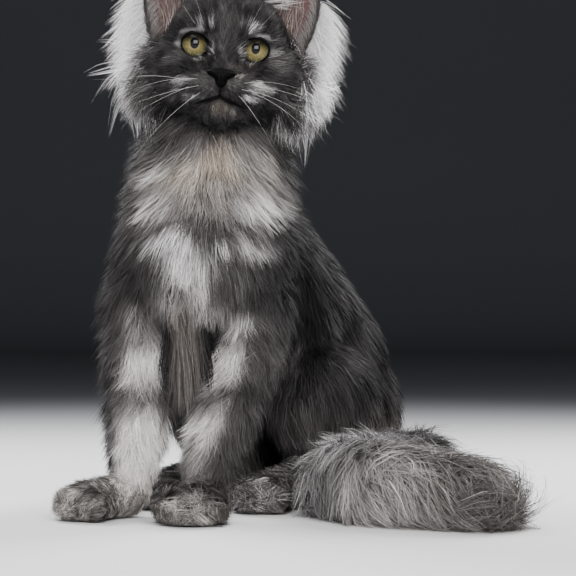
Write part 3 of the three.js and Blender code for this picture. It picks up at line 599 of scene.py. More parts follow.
# Each foreleg's outer side along X, tones at heights over the floor at its front, and where it darkens.
LEG_TONES = {
    "foreleg_left": (
        1,
        (0, 20, 33, 46, 59, 72, 82, 92, 104, 118, 132, 150),
        (0.26, 0.30, 0.34, 0.46, 0.74, 0.84, 0.50, 0.26, 0.66, 0.84, 0.46, 0.48),
        (-9, 8),
    ),
    "foreleg_right": (
        -1,
        (0, 14, 30, 50, 70, 80, 92, 104, 118, 132, 150),
        (0.42, 0.62, 0.95, 1.0, 0.94, 0.56, 0.32, 0.84, 0.92, 0.40, 0.38),
        (6, 20),
    ),
}
LEG_DARK = 0.12

# Tones of the tail at shares of its length.
TAIL_TONES = (
    (0, 0.15, 0.3, 0.5, 0.66, 0.78, 0.88, 1.0),
    (0.08, 0.16, 0.26, 0.46, 0.72, 0.42, 0.60, 0.34),
)

# The haunches turn pale from one height to a lower one.
HAUNCH_FADE = (-104, -26)
HAUNCH_TONE = 0.36

# Other tones: the back, how much lighter breast and stripes are, the face, the ruffs and the toes' tips.
BACK_TONE = 0.02
BREAST_GAIN = 0.13
STRIPE_GAIN = 0.08
FACE_TONE = 0.075
RUFF_TONE = 0.97
TOE_TONE = 0.75

# The warmth of the body and of the face, and how far marks wander on each, with the size of the wandering.
BODY_WARMTH = 0.15
FACE_WARMTH = 0.1
BODY_WOBBLE = (3.5, 38)
HEAD_WOBBLE = (0.8, 14)
WAVES = 5


def wander(p, scale, seed):
    """A smooth wandering number, mostly from -1 to 1: a third of the sum of five waves in seeded ways."""
    rng = np.random.default_rng(seed)
    total = np.zeros(len(p))
    for _ in range(WAVES):
        way = unit(rng.normal(size=3)) * rng.uniform(0.6, 1.7) / scale
        total += np.sin(p @ way * 2 * math.pi + rng.uniform(0, 2 * math.pi))
    return total / 3


def mixed(first, second, share):
    """A number turning into another as the share goes from 0 to 1."""
    return first + (second - first) * share


def paint(tone, warmth, p, marks, usual_depth):
    """Lays marks over a tone in turn, each full within half its radii and gone at one and a half."""
    for x, z, width, height, mark_tone, mark_warmth, strength, *own_depth in marks:
        y, depth = own_depth or usual_depth
        far = length((p - np.array([x, y, z])) / np.array([width, depth, height]))
        share = ease(-far, -1.5, -0.45) * strength
        tone = mixed(tone, mark_tone, share)
        warmth = mixed(warmth, mark_warmth, share)
    return tone, warmth


def astray(p, scale, seeds):
    """Three wandering numbers for each place."""
    return np.stack([wander(p, scale, seed) for seed in seeds], -1)


def leg_axis(name, z):
    """X and Y of the middle of a foreleg at a height."""
    bone = FLESH[name].bone[::-1]
    return np.interp(z, bone[:, 2], bone[:, 0]), np.interp(z, bone[:, 2], bone[:, 1])


def toe_clefts_and_tips(p, name):
    """How far a place lies in a cleft between a foot's toes, and how near it is to their tips."""
    heel, toes, _, spread = FEET[name]
    ahead, across = foot_ways(heel, toes)
    offset = p - np.array(toes)
    forward = offset @ ahead
    side = offset @ across / spread
    cleft = np.exp(-(((side - np.clip(np.round(side), -1, 1)) / 0.17) ** 2))
    return cleft * ease(forward, -4, 6), ease(forward, 8, 17)


def leg_tone(p, moved, name):
    """The tone of a foreleg: bands at its front, and darker on its outer side and behind."""
    side, heights, tones, shade = LEG_TONES[name]
    middle, depth = leg_axis(name, p[:, 2])
    band = np.interp(moved[:, 2], heights, tones)
    outer = ease(side * (p[:, 0] - middle), *shade)
    behind = ease(p[:, 1] - depth, -2, 14)
    return band + (LEG_DARK - band) * np.maximum(0.88 * outer, behind) * mixed(0.6, 1, ease(p[:, 2], 22, 42))


def head_tone(p, roots):
    """The tone and warmth of the head: marks on a dark face, some of them painted shade, a pale edge behind
    it and white ruffs.
    """
    q = to_head(p)
    face = FACE_TONE + 0.05 * wander(q * (1, 0.3, 1), 12, 51) + 0.06 * wander(q * (1, 1, 0.3), 6, 52)
    moved = q + HEAD_WOBBLE[0] * astray(q, HEAD_WOBBLE[1], (14, 15, 16))
    tone, warmth = paint(face, np.full(len(q), FACE_WARMTH), moved, HEAD_MARKS_AND_PAINTED_SHADE, HEAD_MARK_DEPTH)
    edge = ease(np.abs(q[:, 0]), 46, 62) * ease(q[:, 1], 2, 18)
    tone = tone + edge * (0.26 + 0.14 * wander(q, 9, 53))
    ruff = ruff_share(to_head(roots))
    return mixed(tone, RUFF_TONE, ruff), warmth * (1 - ruff)


def markings_and_painted_shade(p, nearest, roots):
    """The coat's tone and warmth at places, given the part of each and where its hair grows, with painted
    shade in the clefts between the toes and in some head marks.
    """
    moved = p + BODY_WOBBLE[0] * astray(p, BODY_WOBBLE[1], (11, 12, 13))
    breast = ease(-p[:, 1], -46, -4) * ease(p[:, 2], 130, 160)
    tone = BACK_TONE + BREAST_GAIN * breast
    tone = tone + 0.02 * wander(p, 30, 21) + 0.03 * wander(p * (1, 1, 0.3), 14, 22)
    tone, warmth = paint(tone, np.full(len(p), BODY_WARMTH), moved, BODY_MARKS, BODY_MARK_DEPTH)
    stripes = ease(wander(moved * (0.4, 1, 0.45), 34, 25), -0.1, 0.8) * ease(p[:, 1], 40, 90)
    tone = tone + STRIPE_GAIN * stripes
    marbling = wander(p * (0.55, 0.55, 1.0), 10, 23) + 0.6 * wander(p * (1.0, 1.0, 0.4), 8, 24)
    tone = tone * (1 + 0.20 * marbling * breast)
    for name in LEG_TONES:
        on_leg = np.isin(nearest, [PART_NAMES.index(name), PART_NAMES.index(name.replace("leg", "paw"))])
        share = np.where(on_leg, ease(-p[:, 2], -165, -135), 0)
        tone = mixed(tone, leg_tone(p, moved, name), share)
        warmth = mixed(warmth, BODY_WARMTH + 0.2 * ease(-p[:, 2], -40, -18), share)
    for name in FEET:
        # The toes' tips are lighter in colour, and painted shade darkens the clefts between the toes.
        split, tip = toe_clefts_and_tips(p, name)
        toes = (tone + (TOE_TONE - tone) * tip * 0.45) * (1 - 0.6 * split)
        tone = np.where(nearest == PART_NAMES.index(name), toes, tone)
    haunches = [k for k, name in enumerate(PART_NAMES) if name.startswith(("thigh", "hindfoot"))]
    pale = HAUNCH_TONE + 0.10 * wander(p, 18, 31)
    share = np.where(np.isin(nearest, haunches), ease(-moved[:, 2], *HAUNCH_FADE), 0)
    tone = mixed(tone, pale, share)
    on_tail = nearest == PART_NAMES.index("tail")
    if on_tail.any():
        s = FLESH["tail"].locate(moved[on_tail])[0]
        tone[on_tail] = np.interp(s, *TAIL_TONES) + 0.10 * wander(p[on_tail], 20, 41)
        warmth[on_tail] = 0.05 + 0.25 * ease(s, 0.75, 1.0)
    on_head = nearest == PART_NAMES.index("head")
    tone[on_head], warmth[on_head] = head_tone(p[on_head], roots[on_head])
    return np.clip(tone, 0, 1), np.clip(warmth, 0, 1)


def ruff_share(q):
    """How far a point of the head's frame belongs to the white ruffs, behind the cheeks and the ears."""
    front = 26 + 18 * ease(q[:, 2], -12, 10) - 5 * (q[:, 0] > 0)
    side = ease(np.abs(q[:, 0]), 33, 42) * ease(q[:, 2], -35, -22)
    return ease(q[:, 1] - front, 0, 9) * ease(-q[:, 1], -66, -42) * side


def coat_colour(tone, warmth, props):
    """Colours along the row smoke, grey, silver, white by tone, tinted with cream by warmth."""
    stops = np.array([0.0, 0.28, 0.62, 1.0])
    row = np.array([list(props.smoke), list(props.grey), list(props.silver), list(props.white)])
    colour = np.stack([np.interp(tone, stops, row[:, k]) for k in range(3)], -1)
    cream = np.array(list(props.cream))
    return colour * (1 + (cream - 1) * warmth[:, None])


# The coat. Each row gives, for a length of bone or a part: clumps on a square centimetre, a tuft's length and
# width, how far its tip stands off the skin, the radius of its clump, how far it sags, how closely it clings
# to the skin, how far a clump's tips draw together and how much its tufts stray.
DENSITY, LENGTH, WIDTH, LIFT, CLUMP, SAG, CLING, PULL, STRAY = range(9)
TRUNK_STATIONS = (0, 0.12, 0.3, 0.5, 0.75, 1)
TRUNK_COAT = (
    (13.0, 32, 0.50, 18, 2.9, 0.5, 1, 0.6, 0.2),
    (13.0, 34, 0.52, 22, 3.2, 0.5, 1, 0.65, 0.2),
    (12.0, 35, 0.54, 20, 3.4, 0.5, 1, 0.7, 0.2),
    (9.2, 36, 0.60, 14, 3.8, 0.4, 1, 0.7, 0.18),
    (5.4, 42, 0.80, 11, 4.4, 0.3, 1, 0.6, 0.14),
    (4.2, 40, 0.92, 10, 4.8, 0.3, 1, 0.6, 0.13),
)
LEG_STATIONS = (0, 0.3, 0.55, 0.8, 1)
LEG_COAT = (
    (9.0, 33, 0.56, 13, 3.0, 0.4, 1, 0.5, 0.2),
    (9.5, 30, 0.54, 12.5, 2.7, 0.3, 1, 0.6, 0.2),
    (10.5, 27, 0.50, 11.5, 2.4, 0.2, 1, 0.6, 0.2),
    (11.5, 23, 0.48, 9.5, 2.0, 0.2, 1, 0.5, 0.2),
    (12.5, 16, 0.46, 5.0, 1.7, 0.1, 1, 0.3, 0.18),
)
ELBOW_HAIR = (8.0, 38, 0.58, 14, 3.0, 0.4, 1, 0.5, 0.2)
BELLY_HAIR = (14.0, 74, 0.60, 12, 4.0, 0.3, 0.05, 0.9, 0.07)
PAW_COAT = (26.0, 13.0, 0.42, 5.0, 1.5, 0.0, 1, 0.7, 0.26)
THIGH_COAT = (5.4, 42, 0.80, 11, 4.2, 0.3, 1, 0.5, 0.13)
HINDFOOT_COAT = (9.0, 17, 0.66, 5.0, 2.2, 0.0, 1, 0.4, 0.22)
HOCK_COAT = (9.0, 30.6, 0.726, 9.0, 3.3, 0.0, 1, 0.4, 0.22)
TAIL_COAT = (6.8, 64, 0.66, 29, 5.4, 0.4, 0.8, 0.9, 0.19)
MUZZLE_COAT = (34.0, 5.0, 0.32, 1.4, 0.8, 0.0, 1, 0.2, 0.14)
PAD_COAT = (28.0, 11, 0.34, 3.4, 1.1, 0.0, 1, 0.5, 0.15)
CHEEK_COAT = (23.0, 14, 0.38, 3.4, 1.4, 0.0, 1, 0.4, 0.16)
CROWN_COAT = (18.0, 13, 0.42, 3.0, 1.6, 0.0, 1, 0.4, 0.15)
FRINGE_COAT = (22.0, 24, 0.42, 5.0, 2.4, 0.1, 0.1, 0.4, 0.22)
JOWL_COAT = (20.0, 38, 0.46, 8, 2.8, 0.25, 0.1, 0.5, 0.2)
JAW_COAT = (12.0, 27, 0.52, 9, 2.4, 0.5, 1, 0.5, 0.16)
RUFF_COAT = (40.0, 49, 0.50, 24, 3.9, 0.14, 0.12, 1.0, 0.27)

# Tufts in a clump, how strongly and at what size the lie swirls, a tuft's widths at shares of its length, how
# deep it is rooted, how far it rolls, the painted shade at its tip, and how many tufts are paler or longer.
TUFTS_IN_CLUMP = 9
SWIRL = 2.5
SWIRL_SIZE = 19.0
TUFT_PROFILE = ((0, 0.25, 0.5, 0.75), (0.6, 1.0, 0.85, 0.5))
ROOT_DEPTH = 0.4
ROLL = 0.9
PAINTED_TIP_SHADE = 1.03
PALE_SHARE = 0.10
LONG_SHARE = 0.04
LONGER = 1.3

NOSE_TIP = np.array([0.0, -30.0, -25.0])

# By a word in a piece's name: the steps of its tufts, few where hair is short and most where it stands free,
# how far the tones of its clumps and of its tufts vary, and the painted shade that darkens its tufts' roots.
TRAITS = {
    "face": (2, 0.55, 0.5, 0.66),
    "paw": (2, 0.55, 0.5, 0.66),
    "foot": (2, 0.55, 0.5, 0.66),
    "cheek": (4, 0.10, 0.08, 0.95),
    "tail": (4, 0.22, 0.18, 0.5),
    "foreleg": (3, 0.22, 0.18, 0.82),
    "": (3, 0.22, 0.18, 0.66),
}

# A direction that no tube runs in, to set the sides of its rings by.
TUBE_SIDE = np.array([0.13, -0.96, 0.24])

# The bake map: the size of a tuft's patch, tiles in a row, and a tile's margin and inner width.
PATCH = 0.003
TILES = 4
TILE_MARGIN = 0.02
TILE_INNER = 0.21


def blend(first, second, share):
    """Rows of numbers turning into others, or into one row, as the share goes from 0 to 1."""
    return mixed(first, np.asarray(second), share[:, None])


def same_row(row, p):
    """One row of coat sizes for every place."""
    return np.tile(np.array(row, float), (len(p), 1))


def rows_at(stations, rows, s):
    """Coat sizes at places along a bone, straight between its stations."""
    return np.stack([np.interp(s, stations, column) for column in zip(*rows)], -1)


def head_coat(p, name):
    """Sizes and lie on the head: short and away from the nose on the face, long and outward in the ruffs."""
    q = to_head(p)
    x, y, z = np.abs(q[:, 0]), q[:, 1], q[:, 2]
    side = np.sign(q[:, 0])
    away = q - NOSE_TIP
    under = ease(-z, 50, 58) * ease(y, -14, 0)
    fringe = ease(x, 36, 50) * ease(y, 4, 18)
    jowl = ease(-z, 14, 34) * ease(x, 30, 44) * ease(y, -2, 12)
    nape = ease(y, 44, 62)
    ruff = ruff_share(q)
    beside_pad = np.array(CHEEK_COAT) * 0.8 + np.array(MUZZLE_COAT) * 0.2
    sizes = rows_at((14, 34, 62), (MUZZLE_COAT, beside_pad, CHEEK_COAT), length(away))
    for row, share in (
        (CROWN_COAT, ease(z, 12, 34) * ease(y, -8, 16)),
        (JAW_COAT, under),
        (FRINGE_COAT, fringe),
        (JOWL_COAT, jowl),
        (JAW_COAT, nape),
        (RUFF_COAT, ruff),
        (PAD_COAT, ease(x, 10, 22) * ease(-z, 18, 26) * ease(-y, -4, 8)),
    ):
        sizes = blend(sizes, row, share)
    way = unit(away * (1, 1.2, 0.9))
    for eye_side in (-1, 1):
        from_eye = q - np.array([eye_side * EYE_APART, EYE_SET_BACK, 0])
        near = np.exp(-((length(from_eye * (1, 0.3, 1)) / 15) ** 2))
        way = way + unit(from_eye * (1, 0, 1)) * (near * 0.9)[:, None]
    ruff_rise = np.interp(z, (-42, -10, 15, 35), (-1.3, -0.85, -0.4, 0.0))
    for outward, back, rise, share in (
        (0.25, 0.35, -1.0, np.maximum(under, nape)),
        (1.0, 0.2, -0.1 - 0.5 * ease(-z, -10, 30), fringe),
        (0.95, 0.05, -0.65, jowl),
        (1.0, 0.2, ruff_rise, ruff),
    ):
        lie = np.stack(np.broadcast_arrays(side * outward, back, rise), -1)
        way = blend(way, lie, share)
    return sizes, head_way(unit(way))


def trunk_coat(p, name):
    """Sizes and lie on the neck and trunk: along the spine and down, parting at the breast's middle."""
    s, along, angle = FLESH[name].locate(p)
    sizes = rows_at(TRUNK_STATIONS, TRUNK_COAT, s)
    front = ease(-np.abs(angle), -1.7, -0.9)
    sizes[:, LIFT] *= 0.6 + 0.4 * front
    belly = front * ease(-p[:, 2], -180, -156) * ease(s, 0.30, 0.40) * np.exp(-(((p[:, 0] + 11) / 26) ** 2))
    sizes = blend(sizes, BELLY_HAIR, belly)
    down = np.interp(s, (0, 0.3, 0.5, 1), (0.35, 0.45, 0.8, 0.5))
    way = along + np.outer(down, (0, 0, -1.0))
    spread = np.interp(p[:, 2], (150, 190, 222, 290), (-0.5, -0.45, 1.1, 1.4))
    parting = np.clip((p[:, 0] - 6) / 34, -1, 1) * front
    way = way + np.outer(parting * spread, (1.0, 0, 0))
    return sizes, unit(way) * (1 - belly)[:, None] + np.outer(belly, (0, -0.12, -1.0))


def leg_coat(p, name):
    """Sizes and lie on a foreleg: down the leg, with long hair behind the elbow."""
    s, along, angle = FLESH[name].locate(p)
    behind = ease(np.abs(angle), 1.2, 1.9) * ease(-s, -0.85, -0.6)
    sizes = blend(rows_at(LEG_STATIONS, LEG_COAT, s), ELBOW_HAIR, behind)
    outward = np.cross(along, TOWARDS_VIEWER)
    way = along + np.outer(behind * 0.45, (0, 0.8, -0.6))
    return sizes, way + outward * (np.sin(angle) * behind * 0.6)[:, None]


def paw_coat(p, name):
    """Sizes and lie on a paw or foot: short hair running to the toes, longer at their tips."""
    sizes = same_row(PAW_COAT if name.startswith("forepaw") else HINDFOOT_COAT, p)
    sizes[:, (LENGTH, LIFT)] *= 1 + 0.6 * toe_clefts_and_tips(p, name)[1][:, None]
    return sizes, FLESH[name].locate(p)[1] + (0, 0, -0.25)


def thigh_coat(p, name):
    """Sizes and lie on a thigh: down and back over the haunch, and shorter by the foot."""
    low = ease(-p[:, 2], -60, -25)
    sizes = blend(same_row(THIGH_COAT, p), HOCK_COAT, low * 0.8)
    return sizes, np.tile([0.12, 0.34, -0.9], (len(p), 1))


def tail_coat(p, name):
    """Sizes and lie on the tail: long, to its tip and spreading from its bone."""
    s, along, _ = FLESH[name].locate(p)
    sizes = same_row(TAIL_COAT, p)
    sizes[:, LENGTH] *= np.interp(s, (0, 0.15, 0.5, 0.9, 1), (0.7, 0.9, 1, 1.15, 1.3))
    sizes[:, LIFT] *= np.interp(s, (0, 0.2, 0.9, 1), (0.5, 0.95, 1, 0.7))
    return sizes, along


# What works out each part's coat, from places and the part's name.
PART_COATS = {
    "trunk": trunk_coat,
    "head": head_coat,
    "foreleg": leg_coat,
    "forepaw": paw_coat,
    "thigh": thigh_coat,
    "hindfoot": paw_coat,
    "tail": tail_coat,
}


def coat_plan(p):
    """The nearest part, and the sizes and lie blended from all parts by e to the minus height over 5 mm."""
    heights = np.stack([FLESH[name].height(p) for name in PART_NAMES], -1)
    nearest = heights.argmin(1)
    weights = np.exp(-(heights - heights.min(1, keepdims=True)) / 5)
    weights[:, PART_NAMES.index("head")] *= 1.6
    weights /= weights.sum(1, keepdims=True)
    sizes = np.zeros((len(p), len(PAW_COAT)))
    way = np.zeros((len(p), 3))
    for k, name in enumerate(PART_NAMES):
        near = weights[:, k] > 0.01
        if near.any():
            part_sizes, part_way = PART_COATS[name.split("_")[0]](p[near], name)
            sizes[near] += part_sizes * weights[near, k, None]
            way[near] += unit(part_way) * weights[near, k, None]
    return nearest, sizes, unit(way)


def bare(p):
    """How far a place is kept free of hair: 1 on the eyes, the nose leather and the line of the mouth."""
    q = to_head(p)
    front = q[:, 1] < 8
    eyes = eye_gap(q * (1, 0, 1) + (0, -20, 0)) < 0.9
    leather = (np.abs(q[:, 0]) < nose_width(q[:, 2]) - 0.5) & (q[:, 2] < NOSE_TOP) & (q[:, 2] > NOSE_BOTTOM)
    lips = (np.abs(q[:, 2] - mouth_line(q[:, 0])) < 0.9) & (np.abs(q[:, 0]) < MOUTH_CORNER[0])
    return front & (eyes | leather | lips)


def comb(relief, roots, ways, sizes, steps, level):
    """Middle lines of tufts that lie along the skin.

    Each step goes on along the lie, drawn down by the sag, and is then set at a height over the flesh that
    grows with the share of the length by the power 1.4, as far as it clings. None goes under skin or floor.
    """
    lengths, lifts, sags, cling = sizes
    cling = cling[:, None]
    line = [roots]
    here = roots
    way = ways
    for i in range(1, steps + 1):
        share = i / steps
        _, slope = relief.read(here)
        flat = unit(way - slope * dot(way, slope) * 0.9 * cling)
        drawn = unit(flat + np.outer(sags * share, (0, 0, -1.0)))
        ahead = here + drawn * (lengths / steps)[:, None]
        height, slope = relief.read(ahead)
        gain = lifts[:, None] * share**1.4 * cling + level - height
        ahead = ahead + slope * np.clip(np.where(gain > 0, gain, gain * cling), -6, 10)
        ahead[:, 2] = np.maximum(ahead[:, 2], OVER_FLOOR)
        way = unit(drawn + unit(ahead - here) * 0.6)
        here = ahead
        line.append(here)
    return np.stack(line, 1)


def ribbons(lines, normals, widths, rolls):
    """Flat tapered strips along lines: two points on each side of every step and one at the tip.

    The strip's own side is the cross product of its way and its normal, turned about the way by the roll.
    """
    count, steps = lines.shape[0], lines.shape[1] - 1
    profile = np.interp(np.arange(steps) / steps, *TUFT_PROFILE)
    ways = unit(np.gradient(lines, axis=1))
    across = unit(np.cross(ways, normals[:, None]))
    upright = np.cross(across, ways)
    c, s = np.cos(rolls)[:, None, None], np.sin(rolls)[:, None, None]
    side = (across * c + upright * s)[:, :-1] * (profile * 0.5)[:, None] * widths[:, None, None]
    body = np.stack([lines[:, :-1] - side, lines[:, :-1] + side], 2).reshape(count, -1, 3)
    points = np.concatenate([body, lines[:, -1:]], 1)
    faces = []
    for i in range(steps - 1):
        faces += [[2 * i, 2 * i + 1, 2 * i + 3], [2 * i, 2 * i + 3, 2 * i + 2]]
    faces.append([2 * steps - 2, 2 * steps - 1, 2 * steps])
    stride = 2 * steps + 1
    all_faces = np.arange(count)[:, None, None] * stride + np.array(faces)
    return points.reshape(-1, 3), all_faces.reshape(-1, 3)


def ribbon_shares(steps):
    """The share of the length at each of a strip's points."""
    return np.append(np.repeat(np.arange(steps), 2), steps) / steps


def ribbon_map(places, steps):
    """Each strip's patch on the map: across and along a small square about its root's place."""
    across = np.append(np.tile([0, 1], steps), 0.5)
    patch = (np.stack([across, ribbon_shares(steps)], -1) - 0.5) * PATCH
    return (places[:, None] + patch).reshape(-1, 2)


def ribbon_colours(tone, warmth, steps, painted_root_shade, painted_tip_shade):
    """Colours of the strips' points: each strip's tone with painted shade, darker at its root than at its
    tip.
    """
    along = ribbon_shares(steps)
    shaded = (tone[:, None] * (painted_root_shade + (painted_tip_shade - painted_root_shade) * along)).ravel()
    return coat_colour(np.clip(shaded, 0, 1), np.repeat(warmth, len(along)), props_of("cat_colours"))


def put_mesh(name, points, faces, slot_name="coat"):
    """Makes a piece from points in the cat's frame and rows of corners, and parents it to the body's root
    empty.
    """
    faces = np.asarray(faces, np.int32)
    mesh = bpy.data.meshes.new(name)
    mesh.vertices.add(len(points))
    mesh.vertices.foreach_set("co", metres(points).astype(np.float32).ravel())
    mesh.loops.add(faces.size)
    mesh.loops.foreach_set("vertex_index", faces.ravel())
    mesh.polygons.add(len(faces))
    mesh.polygons.foreach_set("loop_start", np.arange(0, faces.size, faces.shape[1], dtype=np.int32))
    mesh.polygons.foreach_set("use_smooth", np.ones(len(faces), bool))
    mesh.update(calc_edges=True)
    mesh.validate()
    piece = bpy.data.objects.new(name, mesh)
    bpy.context.scene.collection.objects.link(piece)
    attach(piece, "root")
    return piece


def put_colours(piece, colours):
    """Stores a colour for each point in the attribute that the coat's material reads."""
    attribute = piece.data.color_attributes.new("fur_colour", "FLOAT_COLOR", "POINT")
    rgba = np.ones((len(colours), 4), np.float32)
    rgba[:, :3] = colours
    attribute.data.foreach_set("color", rgba.ravel())


def put_map(piece, name, places):
    """Stores a map from a place for each point of the mesh."""
    mesh = piece.data
    corners = np.empty(len(mesh.loops), np.int32)
    mesh.loops.foreach_get("vertex_index", corners)
    layer = mesh.uv_layers.new(name=name)
    layer.data.foreach_set("uv", places[corners].astype(np.float32).ravel())


def unwrap(p, nearest):
    """Place on a flat map of the skin: the angle round a part's bone and the way along it, a tile a part."""
    places = np.zeros((len(p), 2))
    for k, name in enumerate(PART_NAMES):
        here = nearest == k
        if here.any():
            s, _, angle = FLESH[name].locate(p[here])
            tile = np.array([k % TILES, k // TILES]) / TILES
            spot = np.stack([angle / (2 * math.pi) + 0.5, s], -1)
            places[here] = tile + (TILE_MARGIN + TILE_INNER * spot)
    return places


def grid_faces(rows, columns, ring=False, loop=False):
    """The corners of each cell of a grid of points. On a ring the columns close, on a loop the rows do."""
    i, j = np.meshgrid(np.arange(rows - (not loop)), np.arange(columns - (not ring)), indexing="ij")
    here, next_row = i * columns, (i + 1) % rows * columns
    after = (j + 1) % columns
    return np.stack([here + j, here + after, next_row + after, next_row + j], -1).reshape(-1, 4)


def halved(faces):
    """Each four-sided face as two triangles."""
    return np.concatenate([faces[:, [0, 1, 2]], faces[:, [0, 2, 3]]])


def closed_grid(rings):
    """A tube of rings of points, each ring joined to the next, with both ends closed by a middle point."""
    rows, columns = rings.shape[:2]
    first, top = rows * columns, (rows - 1) * columns
    j = np.arange(columns)
    after = (j + 1) % columns
    start = np.stack([np.full(columns, first), after, j], -1)
    end = np.stack([np.full(columns, first + 1), top + j, top + after], -1)
    points = np.concatenate([rings.reshape(-1, 3), rings[:1].mean(1), rings[-1:].mean(1)])
    return points, np.concatenate([halved(grid_faces(rows, columns, ring=True)), start, end])


def tube(path, radii, sides):
    """A round tube: circles across the way of a path, with a radius for each of its points."""
    path = np.asarray(path, float)
    ways = unit(np.gradient(path, axis=0))
    across = unit(np.cross(ways, TUBE_SIDE))
    upright = np.cross(across, ways)
    a = np.linspace(0, 2 * math.pi, sides, endpoint=False)
    ring = across[:, None] * np.cos(a)[None, :, None] + upright[:, None] * np.sin(a)[None, :, None]
    return closed_grid(path[:, None] + ring * np.asarray(radii)[:, None, None])


def join(parts):
    """Several lists of points and faces as one."""
    points, faces, start = [], [], 0
    for some_points, some_faces in parts:
        points.append(some_points)
        faces.append(some_faces + start)
        start += len(some_points)
    return np.concatenate(points), np.concatenate(faces)


class Value:
    """A varying number, colour or vector in a material: an output socket whose operators add Math nodes."""

    def __init__(self, finish, socket):
        self.finish = finish
        self.socket = socket

    def math(self, operation, *others):
        """One Math node of this value and others."""
        return self.finish.node("Math", {"operation": operation}, dict(enumerate((self, *others))))

    def __add__(self, other):
        return self.math("ADD", other)

    __radd__ = __add__

    def __sub__(self, other):
        return self.math("SUBTRACT", other)

    def __rsub__(self, other):
        return self.math("MULTIPLY", -1.0).math("ADD", other)

    def __mul__(self, other):
        return self.math("MULTIPLY", other)

    __rmul__ = __mul__

    def __truediv__(self, other):
        return self.math("DIVIDE", other)

    def __pow__(self, other):
        return self.math("POWER", other)

    def eased(self, low, high):
        """0 below low and 1 above high, smoothly between them."""
        settings = {"interpolation_type": "SMOOTHSTEP"}
        return self.finish.node("MapRange", settings, {"Value": self, "From Min": low, "From Max": high})


class Finish:
    """A material: its tree of nodes ends in one Principled shader."""

    def __init__(self, name, **sockets):
        self.material = bpy.data.materials.new(name)
        self.material.use_nodes = True
        self.tree = self.material.node_tree
        self.shader = self.tree.nodes["Principled BSDF"]
        self.set(**sockets)

    def set(self, **sockets):
        """Sets or links sockets of the Principled shader, named with underscores for spaces."""
        for name, value in sockets.items():
            self.feed(self.shader.inputs[name.replace("_", " ")], value)

    def feed(self, socket, value):
        """Links a value to a socket, or sets a plain number, vector or colour on it."""
        if isinstance(value, Value):
            self.tree.links.new(value.socket, socket)
        elif socket.type == "RGBA" and len(value) == 3:
            socket.default_value = (*value, 1)
        else:
            socket.default_value = value

    def node(self, kind, settings=None, inputs=None, out=0):
        """Adds a node of a kind, with its settings and then its sockets, and gives one of its outputs."""
        made = self.tree.nodes.new("ShaderNode" + kind)
        for name, value in (settings or {}).items():
            setattr(made, name, value)
        for key, value in (inputs or {}).items():
            self.feed(made.inputs[key], value)
        return Value(self, made.outputs[out])

    def mix(self, first, second, share):
        """A colour between two, by a share from 0 to 1."""
        return self.node("Mix", {"data_type": "RGBA"}, {0: share, 6: first, 7: second}, 2)

    def noise(self, where, scale, detail=2.0, stretch=(1, 1, 1)):
        """Noise from 0 to 1 over a place, which is stretched first."""
        stretched = self.node("VectorMath", {"operation": "MULTIPLY"}, {0: where, 1: stretch})
        return self.node("TexNoise", None, {"Vector": stretched, "Scale": scale, "Detail": detail})

    def place(self):
        """The place on the piece in metres, in its own coordinates."""
        return self.node("TexCoord", None, None, "Object")

    def bump(self, height, strength, distance):
        """A normal raised by a height."""
        inputs = {"Height": height, "Strength": strength, "Distance": distance}
        self.set(Normal=self.node("Bump", None, inputs))

    def dress(self, *pieces):
        """Gives the material to pieces."""
        for piece in pieces:
            piece.data.materials.clear()
            piece.data.materials.append(self.material)


# How much the noise of short fur is drawn out upwards, in its colour and in its bump.
COLOUR_STREAK = (1, 1, 0.35)
BUMP_STREAK = (1, 1, 0.3)

# The skin is darker than the hair over it: painted shade under the coat.
PAINTED_SKIN_SHADE = 0.55


def fur_finish(name, roughness, fine):
    """The coat's material: its colour from the attribute, broken by fine noise, and a soft sheen."""
    finish = Finish(name, Roughness=roughness, Specular_IOR_Level=0.06)
    colour = finish.node("Attribute", {"attribute_name": "fur_colour"}, None, "Color")
    grain = finish.noise(finish.place(), fine, 2.0, COLOUR_STREAK)
    tint = finish.mix((0.72, 0.72, 0.74), (1.0, 1.0, 1.0), grain.eased(0.35, 0.65))
    multiply = {"data_type": "RGBA", "blend_type": "MULTIPLY"}
    finish.set(Base_Color=finish.node("Mix", multiply, {0: 1.0, 6: colour, 7: tint}, 2))
    return finish


# Nose leather in the head's frame: its size, its wings narrowing to its foot, and the dents of its nostrils,
# each with X, Z, a radius and a depth.
NOSE_HALF_WIDTH = 11.0
NOSE_TOP = -19.0
NOSE_BOTTOM = -31.0
NOSE_FRONT = -33.6
NOSE_TAPER = ((0, 0.12, 0.3, 0.45, 0.7, 0.9, 1), (0.86, 1, 0.86, 0.58, 0.40, 0.26, 0.14))
NOSTRIL_DENTS = ((5.2, -26.0, 1.9, 4.0), (7.6, -24.9, 1.5, 3.2), (8.8, -23.4, 1.1, 1.8))


def nose_width(z):
    """Half the width of the nose leather at a height."""
    return NOSE_HALF_WIDTH * np.interp((NOSE_TOP - z) / (NOSE_TOP - NOSE_BOTTOM), *NOSE_TAPER)


# An ear in the head's frame: the corners of its base, its tip, the depth of its cup and its thickness.
EAR_OUTER = np.array([57.0, 36.0, 6.0])
EAR_INNER = np.array([15.0, 34.0, 47.0])
EAR_TIP = np.array([57.0, 48.0, 92.0])
EAR_CUP = 18.0
EAR_THICK = 2.2
EAR_ROWS = 40
EAR_COLUMNS = 33
EAR_BACK = (0.02, 0.019, 0.021)


